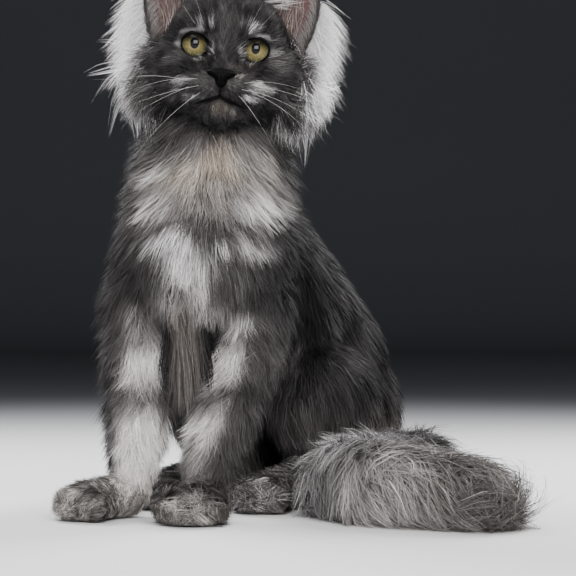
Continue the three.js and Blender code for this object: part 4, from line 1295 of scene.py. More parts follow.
def ear_sheet(side, u, v, depth):
    """A point of an ear: from its base up to the tip by v, out to an edge by u times a width that narrows as
    (1 - v)^0.6, and back by the cup times 1 - u^2 and by the depth in its wall."""
    flip = np.array([side, 1, 1])
    middle = (EAR_OUTER + EAR_INNER) / 2 * flip
    half = (EAR_OUTER - EAR_INNER) / 2 * flip
    rise = EAR_TIP * flip - middle
    back = unit(np.array([0, 1.0, 0]) + 0.12 * half / length(half))
    v_up = np.clip(v, 0, 1)
    w = (1 - v_up) ** 0.6 * (1 + 0.24 * np.sin(math.pi * v_up))
    cup = EAR_CUP * (1 - v_up) ** 0.7
    q = middle + rise * v[..., None] + half * (u * w)[..., None]
    q = q + back * (cup * (1 - u * u) + depth * (1 - 0.35 * v_up))[..., None]
    return from_head(q)


def props_of(name):
    """One of the groups of settings kept on the scene."""
    return getattr(bpy.context.scene, name)


class CoatSettings(bpy.types.PropertyGroup):
    """Sizes of the coat."""

    fullness: bpy.props.FloatProperty(
        name="Fullness",
        description="Tufts of the coat, as a share of the full number",
        default=1.0,
        min=0.1,
        max=1.2,
        subtype="FACTOR",
    )
    long_hair: bpy.props.FloatProperty(
        name="Length",
        description="Length of the hair, as a share of the breed's",
        default=1.0,
        min=0.5,
        max=1.4,
        subtype="FACTOR",
    )
    seed: bpy.props.IntProperty(name="Seed", description="Start of the random draws of the coat", default=4)


class CoatColours(bpy.types.PropertyGroup):
    """Colours of the coat, from the darkest tone to the lightest."""

    smoke: bpy.props.FloatVectorProperty(
        name="Smoke", description="Darkest hair", default=(0.008, 0.0076, 0.0084), subtype="COLOR"
    )
    grey: bpy.props.FloatVectorProperty(
        name="Grey", description="Middle grey hair", default=(0.095, 0.091, 0.093), subtype="COLOR"
    )
    silver: bpy.props.FloatVectorProperty(
        name="Silver", description="Light grey hair", default=(0.42, 0.41, 0.415), subtype="COLOR"
    )
    white: bpy.props.FloatVectorProperty(
        name="White", description="White hair", default=(0.95, 0.945, 0.955), subtype="COLOR"
    )
    cream: bpy.props.FloatVectorProperty(
        name="Cream", description="Tint of warm places", default=(1.10, 0.96, 0.78), subtype="COLOR", max=2
    )


class FaceColours(bpy.types.PropertyGroup):
    """Colours of the eyes, the nose and the ears."""

    iris_inner: bpy.props.FloatVectorProperty(
        name="Inner iris", description="Iris beside the pupil", default=(0.18, 0.138, 0.052), subtype="COLOR"
    )
    iris_outer: bpy.props.FloatVectorProperty(
        name="Outer iris", description="Iris towards its rim", default=(0.085, 0.082, 0.036), subtype="COLOR"
    )
    pupil: bpy.props.FloatVectorProperty(
        name="Pupil", description="Pupil of the eye", default=(0.0015, 0.002, 0.004), subtype="COLOR"
    )
    leather: bpy.props.FloatVectorProperty(
        name="Leather", description="Nose, lids and lips", default=(0.0014, 0.0012, 0.0014), subtype="COLOR"
    )
    ear_skin: bpy.props.FloatVectorProperty(
        name="Ear skin", description="Bare skin in the ears", default=(0.115, 0.058, 0.056), subtype="COLOR"
    )


class StudioSettings(bpy.types.PropertyGroup):
    """The studio's light."""

    key_power: bpy.props.FloatProperty(
        name="Key light", description="Power of the key light", default=60, unit="POWER"
    )
    rim_power: bpy.props.FloatProperty(
        name="Rim light", description="Power of each rim light", default=30, unit="POWER"
    )
    floor_colour: bpy.props.FloatVectorProperty(
        name="Floor", description="Colour of the floor", default=(0.60, 0.60, 0.61), subtype="COLOR"
    )
    wall_colour: bpy.props.FloatVectorProperty(
        name="Wall", description="Colour of the backdrop", default=(0.11, 0.115, 0.128), subtype="COLOR"
    )


def skin_surface():
    """The skin: a closed surface inside the flesh, opened before the eyes."""
    low, values = flesh_grid(SKIN_STEP, SKIN_REACH)
    corners = [((np.array(corner) - low) / SKIN_STEP).astype(int) for corner in FLESH["head"].box()]
    spans = tuple(slice(first, last + 1) for first, last in zip(*corners))
    axes = [low[k] + SKIN_STEP * np.arange(values.shape[k])[spans[k]] for k in range(3)]
    gap = eye_gap(to_head(np.stack(np.meshgrid(*axes, indexing="ij"), -1)))
    values[spans] = np.maximum(values[spans], -gap - SKIN_INSET)
    points, faces = net_surface(values, low, SKIN_STEP, -SKIN_INSET)
    points[:, 2] = np.maximum(points[:, 2], SKIN_OVER_FLOOR)
    return points, faces


class Body:
    """What skin and coat share: the flesh's relief, the skin's faces and the plan of the coat on them."""

    def __init__(self):
        self.relief = Relief(RELIEF_STEP, RELIEF_REACH)
        self.points, self.faces = skin_surface()
        corners = self.points[self.faces]
        self.middles = corners.mean(1)
        self.areas = length(np.cross(corners[:, 2] - corners[:, 0], corners[:, 3] - corners[:, 1])) / 2
        self.nearest, self.sizes, self.ways = coat_plan(self.middles)


@functools.cache
def cat_body():
    """The one body of this run."""
    return Body()


class CAT_OT_skin(bpy.types.Operator):
    """Makes one skin in place of all the solids of flesh"""

    bl_idname = "cat.skin"
    bl_label = "Skin"

    def execute(self, context):
        body = cat_body()
        piece = put_mesh("skin", body.points, body.faces)
        tone, warmth = markings_and_painted_shade(body.points, coat_plan(body.points)[0], body.points)
        # Painted shade: the skin under the coat is darkened.
        put_colours(piece, coat_colour(tone, warmth, props_of("cat_colours")) * PAINTED_SKIN_SHADE)
        finish = fur_finish("short fur over skin", 0.75, 900)
        finish.bump(finish.noise(finish.place(), 700, 3.0, BUMP_STREAK), 0.5, 0.001)
        finish.dress(piece)
        flesh_nodes = [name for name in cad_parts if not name.startswith(("eye", "ear", "nose"))]
        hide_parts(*flesh_nodes)
        return {"FINISHED"}


# Pieces of the coat along the bones of the trunk and the tail, and where each but the last ends.
TRUNK_PIECES = (("coat_neck", "coat_chest", "coat_waist", "coat_rump"), (0.30, 0.58, 0.72))
TAIL_PIECES = (("coat_tail_root", "coat_tail_middle", "coat_tail_end"), (0.35, 0.7))
NAPE_START = 26
RUFF_EDGE = 0.3


def coat_piece_of(p, nearest):
    """The name of the coat piece that each place belongs to."""
    names = np.array(["coat_" + PART_NAMES[k] for k in nearest], dtype=object)
    for part, (pieces, ends) in (("trunk", TRUNK_PIECES), ("tail", TAIL_PIECES)):
        here = nearest == PART_NAMES.index(part)
        s = FLESH[part].locate(p[here])[0]
        names[here] = np.array(pieces, dtype=object)[np.digitize(s, ends)]
    head = nearest == PART_NAMES.index("head")
    q = to_head(p)
    ruff = head & (ruff_share(q) > RUFF_EDGE)
    names[head] = np.where(q[head, 0] > 0, "coat_face_left", "coat_face_right")
    names[head & (q[:, 1] > NAPE_START)] = "coat_nape"
    names[ruff & (q[:, 0] > 0)] = "coat_cheek_left"
    names[ruff & (q[:, 0] < 0)] = "coat_cheek_right"
    return names


def grow_coat(wanted):
    """Grows the tufts of the wanted pieces, in clumps that are spread evenly over the skin."""
    body = cat_body()
    settings = props_of("cat_coat")
    rng = np.random.default_rng(settings.seed)
    density = body.sizes[:, DENSITY] / 100 * settings.fullness * ~bare(body.middles)
    piled = np.cumsum(body.areas * density)
    count = int(piled[-1])
    picks = np.searchsorted(piled, (np.arange(count) + rng.random(count)) * piled[-1] / count)
    picks = np.minimum(picks, len(piled) - 1)
    a, b = rng.random((2, count, 1))
    first, second, third, fourth = body.points[body.faces[picks]].swapaxes(0, 1)
    spots = (first * (1 - a) + second * a) * (1 - b) + (fourth * (1 - a) + third * a) * b
    owners = coat_piece_of(spots, body.nearest[picks])
    for name in wanted:
        mine = owners == name
        if not mine.any():
            raise RuntimeError("no hair on " + name)
        grow_piece(name, spots[mine], picks[mine], settings)


def clump_roots(rng, body, spots, picks):
    """Roots of the tufts of each clump, within its radius, the first one in its middle."""
    shape = (len(spots), TUFTS_IN_CLUMP)
    _, slope = body.relief.read(spots)
    aside = unit(np.cross(slope, body.ways[picks]))
    ahead = np.cross(aside, slope)
    angle = rng.uniform(0, 2 * math.pi, shape)
    out = np.sqrt(rng.random(shape)) * body.sizes[picks, CLUMP, None]
    out[:, 0] = 0
    roots = spots[:, None] + aside[:, None] * (np.cos(angle) * out)[..., None]
    return roots + ahead[:, None] * (np.sin(angle) * out)[..., None]


def clump_lines(rng, body, spots, picks, steps, long_hair):
    """Middle lines of the tufts of clumps: combed along the lie, and drawn to the clump's first tuft."""
    sizes = body.sizes[picks]
    shape = clumps, k = (len(spots), TUFTS_IN_CLUMP)
    roots = clump_roots(rng, body, spots, picks)
    stray = sizes[:, STRAY, None]
    swirl = astray(spots, SWIRL_SIZE, (61, 62, 63)) * stray * SWIRL
    clump_way = unit(body.ways[picks] + swirl + rng.normal(0, 1, (clumps, 3)) * stray * 0.8)
    ways = clump_way[:, None] + rng.normal(0, 1, (*shape, 3)) * stray[..., None]
    grown = sizes[:, LENGTH, None] * rng.uniform(0.82, 1.16, (clumps, 1)) * rng.uniform(0.72, 1.12, shape)
    grown = grown * np.where(rng.random(shape) < LONG_SHARE, LONGER, 1.0)
    lifts = sizes[:, LIFT, None] * rng.uniform(0.7, 1.25, (clumps, 1)) * rng.uniform(0.55, 1.25, shape)
    level = -SKIN_INSET - ROOT_DEPTH
    flat = body.relief.settle(roots.reshape(-1, 3), level)
    hair = (grown.ravel() * long_hair, lifts.ravel(), *(np.repeat(sizes[:, c], k) for c in (SAG, CLING)))
    lines = comb(body.relief, flat, unit(ways.reshape(-1, 3)), hair, steps, level).reshape(*shape, -1, 3)
    share = np.linspace(0, 1, steps + 1) ** 1.6
    pull = sizes[:, PULL].reshape(-1, 1, 1, 1) * rng.uniform(0.5, 1.2, (clumps, 1, 1, 1)) * share[:, None]
    lines = lines + (lines[:, :1] - lines) * np.clip(pull, 0, 0.9)
    return flat, lines.reshape(-1, steps + 1, 3)


def clump_tones(rng, tone, spots, flat, tuft_of, on_head, stray):
    """Tones of tufts: whiter in the ruffs, and varied by clump and by tuft, with a tenth of them paler."""
    ruff = on_head * ruff_share(to_head(spots))[tuft_of]
    rear = ease(to_head(flat)[:, 1], 40, 50)
    tone = mixed(tone, 1.05, ease(ruff + rng.uniform(-0.35, 0.35, len(tone)) * rear, 0.3, 0.7))
    for count, owner, spread in ((len(spots), tuft_of, stray[0]), (len(tone), slice(None), stray[1])):
        tone = tone * rng.uniform(1 - spread, 1 + spread, count)[owner]
    tone = tone + rng.normal(0, 0.012, len(spots))[tuft_of] + rng.normal(0, 0.015, len(tone))
    pale = rng.random(len(tone)) < PALE_SHARE
    return tone + pale * (0.02 + tone * rng.uniform(0.1, 0.5, len(tone)))


def grow_piece(name, spots, picks, settings):
    """One piece of the coat: the tufts of its clumps as strips, with their colours and their bake map."""
    body = cat_body()
    rng = np.random.default_rng([settings.seed, sum(map(ord, name))])
    steps, clump_stray, tuft_stray, painted_root_shade = next(row for word, row in TRAITS.items() if word in name)
    roots, lines = clump_lines(rng, body, spots, picks, steps, settings.long_hair)
    tuft_of = np.repeat(np.arange(len(spots)), TUFTS_IN_CLUMP)
    nearest = body.nearest[picks][tuft_of]
    tone, warmth = markings_and_painted_shade(lines[:, -2], nearest, roots)
    on_head = nearest == PART_NAMES.index("head")
    tone = clump_tones(rng, tone, spots, roots, tuft_of, on_head, (clump_stray, tuft_stray))
    widths = body.sizes[picks, WIDTH][tuft_of] * rng.uniform(0.75, 1.3, len(tone))
    rolls = rng.uniform(-ROLL, ROLL, len(tone))
    _, normals = body.relief.read(roots)
    keep = ~bare(roots)
    points, faces = ribbons(lines[keep], normals[keep], widths[keep], rolls[keep])
    piece = put_mesh(name, points, faces)
    # Painted shade darkens each tuft towards its root.
    put_colours(piece, ribbon_colours(tone[keep], warmth[keep], steps, painted_root_shade, PAINTED_TIP_SHADE))
    put_map(piece, "OFBake", ribbon_map(unwrap(roots[keep], nearest[keep]), steps))
    dress_in_fur(piece)


def dress_in_fur(piece):
    """Gives a piece of the coat the one material that all of them share."""
    fur = bpy.data.materials.get("long fur") or fur_finish("long fur", 0.5, 1300).material
    piece.data.materials.append(fur)


class CAT_OT_head_coat(bpy.types.Operator):
    """Grows the hair of the face, the nape and both cheek ruffs"""

    bl_idname = "cat.head_coat"
    bl_label = "Head coat"

    def execute(self, context):
        faces = ("coat_face_left", "coat_face_right", "coat_nape")
        grow_coat((*faces, "coat_cheek_left", "coat_cheek_right"))
        return {"FINISHED"}


class CAT_OT_body_coat(bpy.types.Operator):
    """Grows the hair of the neck, chest, waist and rump"""

    bl_idname = "cat.body_coat"
    bl_label = "Body coat"

    def execute(self, context):
        grow_coat(TRUNK_PIECES[0])
        return {"FINISHED"}


class CAT_OT_leg_coat(bpy.types.Operator):
    """Grows the hair of the legs and feet"""

    bl_idname = "cat.leg_coat"
    bl_label = "Leg coat"

    def execute(self, context):
        grow_coat(["coat_" + name for name in PART_NAMES if name.startswith(("fore", "thigh", "hind"))])
        return {"FINISHED"}


class CAT_OT_tail_coat(bpy.types.Operator):
    """Grows the plume of the tail"""

    bl_idname = "cat.tail_coat"
    bl_label = "Tail coat"

    def execute(self, context):
        grow_coat(TAIL_PIECES[0])
        return {"FINISHED"}


# Eyes: how far the clear front bulges, the sizes of the iris and the pupil, how far the gaze is raised, and
# how many millimetres the eye's flat map spans.
CORNEA_BULGE = 1.1
CORNEA_RADIUS = 7.5
IRIS_RADIUS = 9.3
PUPIL_WIDTH = 3.2
PUPIL_HEIGHT = 4.2
GAZE_RISE = math.radians(3.5)
EYE_MAP_SPAN = 40.0


def eyeball(side):
    """A ball whose front bulges by a bell curve about the line of sight, and its flat map about that line."""
    a = np.linspace(0, 2 * math.pi, 48, endpoint=False)
    b = np.linspace(0.02, 0.995, 34)[:, None] * math.pi
    bell = np.exp(-((np.sin(b) * EYE_RADIUS / CORNEA_RADIUS) ** 2) * 1.5) * (b < 1.5)
    radius = EYE_RADIUS + CORNEA_BULGE * bell
    x = np.sin(b) * np.cos(a) * radius
    z = np.sin(b) * np.sin(a) * radius
    y = -np.cos(b) * radius * np.ones_like(a)
    c, s = math.cos(GAZE_RISE), math.sin(GAZE_RISE)
    turned = np.stack([x, y * c + z * s, z * c - y * s], -1)
    points, faces = closed_grid(from_head(turned + np.array([side * EYE_APART, EYE_SET_BACK, 0])))
    flat = np.concatenate([np.stack([x, z], -1).reshape(-1, 2), np.zeros((2, 2))])
    return points, faces, 0.5 + flat / EYE_MAP_SPAN


def eye_finish():
    """A wet eye: an upright oval pupil, an iris of radial fibres from gold to olive with a painted shadow of
    the upper lid over its top, and a dark rim.
    """
    colours = props_of("cat_face")
    finish = Finish("eye", Roughness=0.3, Coat_Weight=0.4, Coat_Roughness=0.12, Specular_IOR_Level=0.0)
    place = finish.node("UVMap", {"uv_map": "Gaze"})
    centred = finish.node("VectorMath", {"operation": "SUBTRACT"}, {0: place, 1: (0.5, 0.5, 0)})
    split = finish.node("SeparateXYZ", None, {0: centred})
    x = split * EYE_MAP_SPAN
    z = Value(finish, split.socket.node.outputs[1]) * EYE_MAP_SPAN
    far = (x * x + z * z) ** 0.5
    ring = finish.node("CombineXYZ", None, {0: z.math("ARCTAN2", x) * 7.0, 1: far * 0.22, 2: 0.0})
    fibres = finish.node("TexNoise", None, {"Vector": ring, "Scale": 2.2, "Detail": 4.0})
    blotch = finish.node("TexNoise", None, {"Vector": place, "Scale": 22.0, "Detail": 2.0})
    iris = finish.mix(tuple(colours.iris_inner), tuple(colours.iris_outer), far.eased(3.4, 8.6))
    for colour, share in (
        ((0.38, 0.33, 0.18), fibres.eased(0.48, 0.78) * 0.7),
        ((0.07, 0.06, 0.022), (1 - fibres.eased(0.24, 0.5)) * 0.65),
        ((0.20, 0.22, 0.08), blotch.eased(0.5, 0.8) * 0.4),
        # Painted shadow of the upper lid darkens the iris towards its top.
        ((0.004, 0.004, 0.003), z.eased(-4.5, 5.0) * 0.98),
        ((0.004, 0.004, 0.004), far.eased(IRIS_RADIUS - 0.9, IRIS_RADIUS + 0.3)),
    ):
        iris = finish.mix(iris, colour, share)
    oval = ((x * (1 / PUPIL_WIDTH)) ** 2 + (z * (1 / PUPIL_HEIGHT)) ** 2) ** 0.5
    finish.set(Base_Color=finish.mix(tuple(colours.pupil), iris, oval.eased(0.93, 1.06)))
    return finish


class CAT_OT_eyes(bpy.types.Operator):
    """Makes both eyes"""

    bl_idname = "cat.eyes"
    bl_label = "Eyes"

    def execute(self, context):
        finish = eye_finish()
        for side, name in ((1, "left"), (-1, "right")):
            points, faces, flat = eyeball(side)
            piece = put_mesh("eyeball_" + name, points, faces, "eye")
            put_map(piece, "Gaze", flat)
            finish.dress(piece)
            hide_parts("eye_" + name)
        return {"FINISHED"}


def lid_rim(side):
    """The lids' edge: a round profile along the lid's oval, laid on a ball a little larger than the eye.

    The upper lid is thicker than the lower one.
    """
    a = np.linspace(0, 2 * math.pi, 72, endpoint=False)
    x, z = lid_oval(side, a, 0.2)
    reach = EYE_RADIUS + LID_OVER_EYE
    y = EYE_SET_BACK - np.sqrt(np.maximum(reach**2 - x * x - z * z, 3.0))
    path = np.stack([x + side * EYE_APART, y, z], -1)
    ways = unit(np.roll(path, -1, 0) - np.roll(path, 1, 0))
    outward = unit(path - np.array([side * EYE_APART, EYE_SET_BACK, 0]))
    across = unit(np.cross(ways, outward))
    thick = LID_THICK * (0.28 + 0.55 * ease(np.sin(a), -0.3, 0.5))
    b = np.linspace(0, 2 * math.pi, 10, endpoint=False)
    ring = across[:, None] * np.cos(b)[None, :, None] * 1.15 + outward[:, None] * np.sin(b)[None, :, None]
    rings = from_head(path[:, None] + ring * thick[:, None, None])
    faces = grid_faces(*rings.shape[:2], ring=True, loop=True)
    return rings.reshape(-1, 3), halved(faces[:, [0, 3, 2, 1] if side > 0 else [1, 2, 3, 0]])


def leather_finish(name, roughness, grain, depth):
    """Dark bare skin with a fine pebbled grain."""
    finish = Finish(name, Roughness=roughness, Specular_IOR_Level=0.04)
    tone = finish.noise(finish.place(), grain * 0.3)
    dark = tuple(props_of("cat_face").leather)
    finish.set(Base_Color=finish.mix(dark, tuple(c * 2.2 for c in dark), tone.eased(0.4, 0.8)))
    pebbles = finish.node("TexVoronoi", None, {"Vector": finish.place(), "Scale": grain})
    finish.bump(pebbles, 0.35, depth)
    return finish


def mouth_paths():
    """Lines of the mouth and their radii: one down from the nose and one to each corner."""
    z = np.linspace(MOUTH_TOP + 1.5, MOUTH_MIDDLE, 9)
    yield on_face(0, z, 0.1), np.linspace(0.5, 0.8, 9)
    for side in (-1, 1):
        x = np.linspace(0, MOUTH_CORNER[0], 24)
        yield on_face(side * x, mouth_line(x), 0.9), 1.1 * (1 - 0.6 * (x / MOUTH_CORNER[0]) ** 3)


class CAT_OT_lids_and_lips(bpy.types.Operator):
    """Makes the rims of the eyelids and the dark lips"""

    bl_idname = "cat.lids_and_lips"
    bl_label = "Lids and lips"

    def execute(self, context):
        finish = leather_finish("lid and lip skin", 0.6, 1400, 0.0003)
        lids = put_mesh("eyelid_rims", *join([lid_rim(side) for side in (-1, 1)]), "nose_leather")
        lips = [tube(from_head(path), radii, 8) for path, radii in mouth_paths()]
        lips = put_mesh("lips", *join(lips), "nose_leather")
        finish.dress(lids, lips)
        return {"FINISHED"}


def nose_leather():
    """The nose leather and its back: its front stands over the face and falls to its edge by 1 - r^5.

    Dents in the shape of a comma are the nostrils and a groove runs down its middle.
    """
    across = np.linspace(-1, 1, 61)
    up = np.linspace(0, 1, 41)[:, None]
    z = NOSE_BOTTOM + (NOSE_TOP - NOSE_BOTTOM) * up + 0 * across
    x = across * nose_width(z)
    z = z + 1.2 * (1 - across**2) * up
    edge = np.maximum(np.abs(across) + 0 * up, np.abs(2 * up - 1))
    skin = on_face(x, z, 1.0)[..., 1]
    front = NOSE_FRONT + 2.4 * (2 * up - 1) ** 2 + 1.6 * up + 3.0 * across**2
    y = skin + (np.minimum(front, skin + 1) - skin) * (1 - edge**5)
    for side in (-1, 1):
        for dent_x, dent_z, radius, depth in NOSTRIL_DENTS:
            far = np.hypot(x - side * dent_x, (z - dent_z) * 1.15)
            y = y + depth * np.exp(-((far / radius) ** 2)) * 0.8
    groove = np.exp(-((x / 0.6) ** 2)) * 0.9 * ease(-up, -0.75, -0.4)
    y = y + groove * (edge < 0.97)
    return np.stack([x, y, z], -1), np.maximum(y, skin + 3)


def plate(front, back_y):
    """A closed piece from a grid and the same grid set back along Y."""
    rows, columns = front.shape[:2]
    back = front.copy()
    back[..., 1] = back_y
    sheet = grid_faces(rows, columns)
    number = np.arange(rows * columns).reshape(rows, columns)
    rim = np.concatenate([number[0], number[1:, -1], number[-1, -2::-1], number[-2:0:-1, 0]])
    after = np.roll(rim, -1)
    walls = np.stack([rim, rim + number.size, after + number.size, after], -1)
    faces = np.concatenate([sheet, sheet[:, ::-1] + number.size, walls])
    return from_head(np.concatenate([front.reshape(-1, 3), back.reshape(-1, 3)])), halved(faces)


class CAT_OT_nose(bpy.types.Operator):
    """Makes the nose leather with its nostrils"""

    bl_idname = "cat.nose"
    bl_label = "Nose"

    def execute(self, context):
        piece = put_mesh("nose_pad", *plate(*nose_leather()), "nose_leather")
        leather_finish("nose leather", 0.5, 1900, 0.0004).dress(piece)
        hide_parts("nose")
        return {"FINISHED"}


def ear_finish():
    """The ear: pink-brown skin inside that darkens to its edge and, by painted shade, deep in its cup, and
    short dark fur outside.
    """
    finish = Finish("ear", Roughness=0.6, Specular_IOR_Level=0.3)
    colour = finish.node("Attribute", {"attribute_name": "fur_colour"}, None, "Color")
    mottle = finish.noise(finish.place(), 160, 3.0)
    finish.set(Base_Color=finish.mix(colour, (0.045, 0.026, 0.024), mottle.eased(0.45, 0.75) * 0.35))
    finish.bump(finish.noise(finish.place(), 900, 3.0, BUMP_STREAK), 0.3, 0.0006)
    return finish


def ear_shell(side):
    """The ear's closed wall: at each height a ring along its inside and back along its outside."""
    u = np.linspace(-1, 1, EAR_COLUMNS)
    v = np.linspace(-0.16, 0.985, EAR_ROWS)[:, None]
    points, faces = closed_grid(
        np.concatenate([ear_sheet(side, u, v, 0.0), ear_sheet(side, u[::-1], v, EAR_THICK)], 1)
    )
    dark = np.array(EAR_BACK)
    # Painted shade darkens the skin inside the ear towards its base, deep in the cup.
    pink = np.array(list(props_of("cat_face").ear_skin)) * np.clip(0.45 + 0.75 * v, 0, 1)[..., None]
    shade = np.concatenate([1 - 0.75 * np.abs(u) ** 6, np.zeros(EAR_COLUMNS)])
    colours = dark + (pink - dark) * shade[:, None]
    colours = np.concatenate([colours.reshape(-1, 3), [dark, dark]])
    return points, faces if side < 0 else faces[:, ::-1], colours


EAR_HAIR_STEPS = 3


class EarHair:
    """Hair of one ear: furnishings in its opening, fringes on its edges, fur outside and a tip tuft."""

    def __init__(self, side):
        self.side = side
        self.rng = np.random.default_rng(70 + side)
        self.out = head_way(np.array([side, 0.0, 0.0]))
        self.ahead = head_way(np.array([0, -1.0, 0]))
        self.up = head_way(np.array([0, 0, 1.0]))
        self.meshes = []
        self.colours = []
        self.maps = []

    def add(self, u, v, depth, way, bend, lengths, width, tone, warmth, normal):
        """Adds free hairs on the ear: each runs along its way and bends by the square of its share."""
        n = len(u)
        rng = self.rng
        roots = ear_sheet(self.side, u, v, depth)
        way = unit(way + rng.normal(0, 0.13, (n, 3)))
        bend = bend + rng.normal(0, 0.07, (n, 3))
        tones = np.clip(tone + rng.normal(0, 0.07, n), 0, 1)
        widths = width * rng.uniform(0.7, 1.2, n)
        lengths = (lengths * rng.uniform(0.7, 1.15, n))[:, None]
        rolls = rng.uniform(-ROLL, ROLL, n)
        t = np.linspace(0, 1, EAR_HAIR_STEPS + 1)[None, :, None]
        lines = roots[:, None] + (way * lengths)[:, None] * t + (bend * lengths)[:, None] * t**2
        self.meshes.append(ribbons(lines, np.tile(normal, (n, 1)), widths, rolls))
        # Painted shade darkens each hair towards its root.
        self.colours.append(ribbon_colours(tones, np.full(n, warmth), EAR_HAIR_STEPS, 0.7, 1.05))
        places = 0.02 + 0.45 * np.stack([(u + 1) / 2, np.clip(v + 0.2, 0, 1.2) / 1.3], -1)
        self.maps.append(ribbon_map(places + (0.5 if depth > 1 else 0, 0), EAR_HAIR_STEPS))

    def inside(self):
        """Long white furnishings from the inner edge, a grey fringe on the outer one and down in the cup."""
        rng, out, ahead, up = self.rng, self.out, self.ahead, self.up
        v = rng.random(420) ** 1.4 * 0.62 - 0.06
        u = -0.94 + 0.34 * rng.random(420) ** 2
        way = out * 0.75 + ahead * 0.55 + up * np.interp(v, (0, 0.6), (0.25, 0.95))[:, None]
        self.add(u, v, 0.2, way, out * 0.15 - ahead * 0.25, 34 - 22 * v, 0.32, 0.88, 0.1, ahead)
        v = rng.random(260) * 0.85 - 0.05
        u = 0.90 + 0.09 * rng.random(260)
        way = -out * 0.35 + ahead * 0.4 + up * 0.9
        self.add(u, v, 0.2, way, -out * 0.2, 13 - 6 * v, 0.35, 0.42, 0.2, ahead)
        v = rng.random(150) * 0.35 - 0.05
        u = rng.uniform(-0.75, 0.6, 150)
        self.add(u, v, 0.0, up * 0.9 + ahead * 0.5, out * 0.1, 14, 0.3, 0.6, 0.5, ahead)

    def outside(self):
        """White hair behind the outer edge, and short dark fur over the back."""
        rng, out, ahead, up = self.rng, self.out, self.ahead, self.up
        v = 0.03 + rng.random(620) * 0.52
        u = 0.86 + 0.14 * rng.random(620)
        way = out * 0.75 - up * 0.5 + rng.normal(0, 0.16, (620, 3))
        self.add(u, v, EAR_THICK, way, -up * 0.45, 33 - 14 * v, 0.42, 0.97, 0.0, ahead)
        v = rng.random(3200) * 1.04 - 0.08
        u = rng.uniform(-1, 1, 3200)
        self.add(u, v, EAR_THICK, up, -ahead * 0.1, 9 - 3 * v, 0.6, 0.16, 0.2, -ahead)

    def edges(self):
        """Dark fur along both edges and a tuft at the tip."""
        rng, out, ahead, up = self.rng, self.out, self.ahead, self.up
        v = rng.random(700) * 0.98
        u = np.where(rng.random(700) < 0.5, -1.0, 1.0)
        way = out * (u * 0.35)[:, None] + up
        self.add(u, v, EAR_THICK / 2, way, ahead * 0.1, 8 - 2 * v, 0.55, 0.12, 0.1, ahead)
        v = 1 - rng.random(160) * 0.14
        u = rng.uniform(-1, 1, 160)
        self.add(u, v, 0.9, up + out * 0.25, -out * 0.1, 21, 0.6, 0.08, 0.1, ahead)


class CAT_OT_ears(bpy.types.Operator):
    """Makes the cup of each ear and its hair"""

    bl_idname = "cat.ears"
    bl_label = "Ears"

    def execute(self, context):
        finish = ear_finish()
        for side, name in ((1, "left"), (-1, "right")):
            points, faces, colours = ear_shell(side)
            piece = put_mesh("ear_shell_" + name, points, faces)
            put_colours(piece, colours)
            finish.dress(piece)
            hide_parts("ear_" + name)
            hair = EarHair(side)
            hair.inside()
            hair.outside()
            hair.edges()
            piece = put_mesh("ear_hair_" + name, *join(hair.meshes))
            put_colours(piece, np.concatenate(hair.colours))
            put_map(piece, "OFBake", np.concatenate(hair.maps))
            dress_in_fur(piece)
        return {"FINISHED"}


WHISKER_RADIUS = 0.09


def whisker_roots():
    """Roots, ways, lengths, droops and radii of whiskers: three rows on each pad and two over each eye."""
    rng = np.random.default_rng(9)
    for side in (-1, 1):
        for row in range(3):
            for i in range(2 - row // 2):
                x = 17.0 + i * 7.5 - row * 1.5
                z = -27.0 - row * 4.6 - i * 1.4
                root = on_face(side * x, z, 0.6)
                rise = 0.06 - 0.42 * row + rng.normal(0, 0.12)
                way = unit(np.array([side * (1.0 - 0.08 * i), -0.34 + 0.14 * i, rise]))
                yield root, way, rng.uniform(34, 76) - row * 6, 0.12 + rng.uniform(0, 0.2), WHISKER_RADIUS
        for i in range(2):
            root = on_face(side * (17 + i * 6), 15.0 - i, 0.6)
            way = unit(np.array([side * (0.35 + 0.3 * i), -0.55, 0.9]))
            yield root, way, rng.uniform(26, 34), 0.12, WHISKER_RADIUS * 0.6


class CAT_OT_whiskers(bpy.types.Operator):
    """Makes the whiskers of the pads and brows"""

    bl_idname = "cat.whiskers"
    bl_label = "Whiskers"

    def execute(self, context):
        t = np.linspace(0, 1, 15)[:, None]
        parts = []
        for root, way, reach, droop, thick in whisker_roots():
            path = root + way * reach * t + np.array([0, 0.10, -droop]) * reach * t**2
            radii = thick * (1 - 0.85 * t[:, 0])
            parts.append(tube(from_head(path), radii, 5))
        piece = put_mesh("whiskers", *join(parts))
        Finish("whisker", Base_Color=(0.52, 0.51, 0.50), Roughness=0.4, Specular_IOR_Level=0.3).dress(piece)
        return {"FINISHED"}


# The camera in the cat's frame: its place and its lens, for a square picture.
CAMERA_PLACE = (65.0, -1700.0, 170.0)
LENS = 36.0 * 2297 / 576

# The sweep of floor and backdrop: half its width, how far the floor lies flat, the turn's start and radius,
# and the backdrop's top.
SWEEP_HALF = 5600
SWEEP_FLAT = 4200
SWEEP_TURN = 4500
SWEEP_ROUND = 700
SWEEP_TOP = 4200

# Lights: name, place, target, width and height in metres, and colour; the power of each, in watts, is given
# apart.
KEY_LIGHT = ("key", (240, -1500, 1000), (20, -20, 240), 1.2, 1.0, (1.0, 0.98, 0.95))
RIM_LIGHTS = (
    ("rim_left", (-620, 760, 980), (-40, 20, 300), 0.5, 0.8, (1, 1, 1)),
    ("rim_right", (760, 720, 900), (60, 20, 300), 0.5, 0.8, (1, 1, 1)),
)
FILL_LIGHT = ("fill", (-1000, -1500, 420), (20, 40, 230), 1.4, 1.2, (0.92, 0.96, 1.0))
FILL_POWER = 9
TOP_LIGHT = ("top", (60, 120, 1700), (20, 40, 230), 1.2, 1.2, (1, 1, 1))
TOP_POWER = 13
WORLD_COLOUR = (0.80, 0.82, 0.86, 1)
WORLD_STRENGTH = 0.12


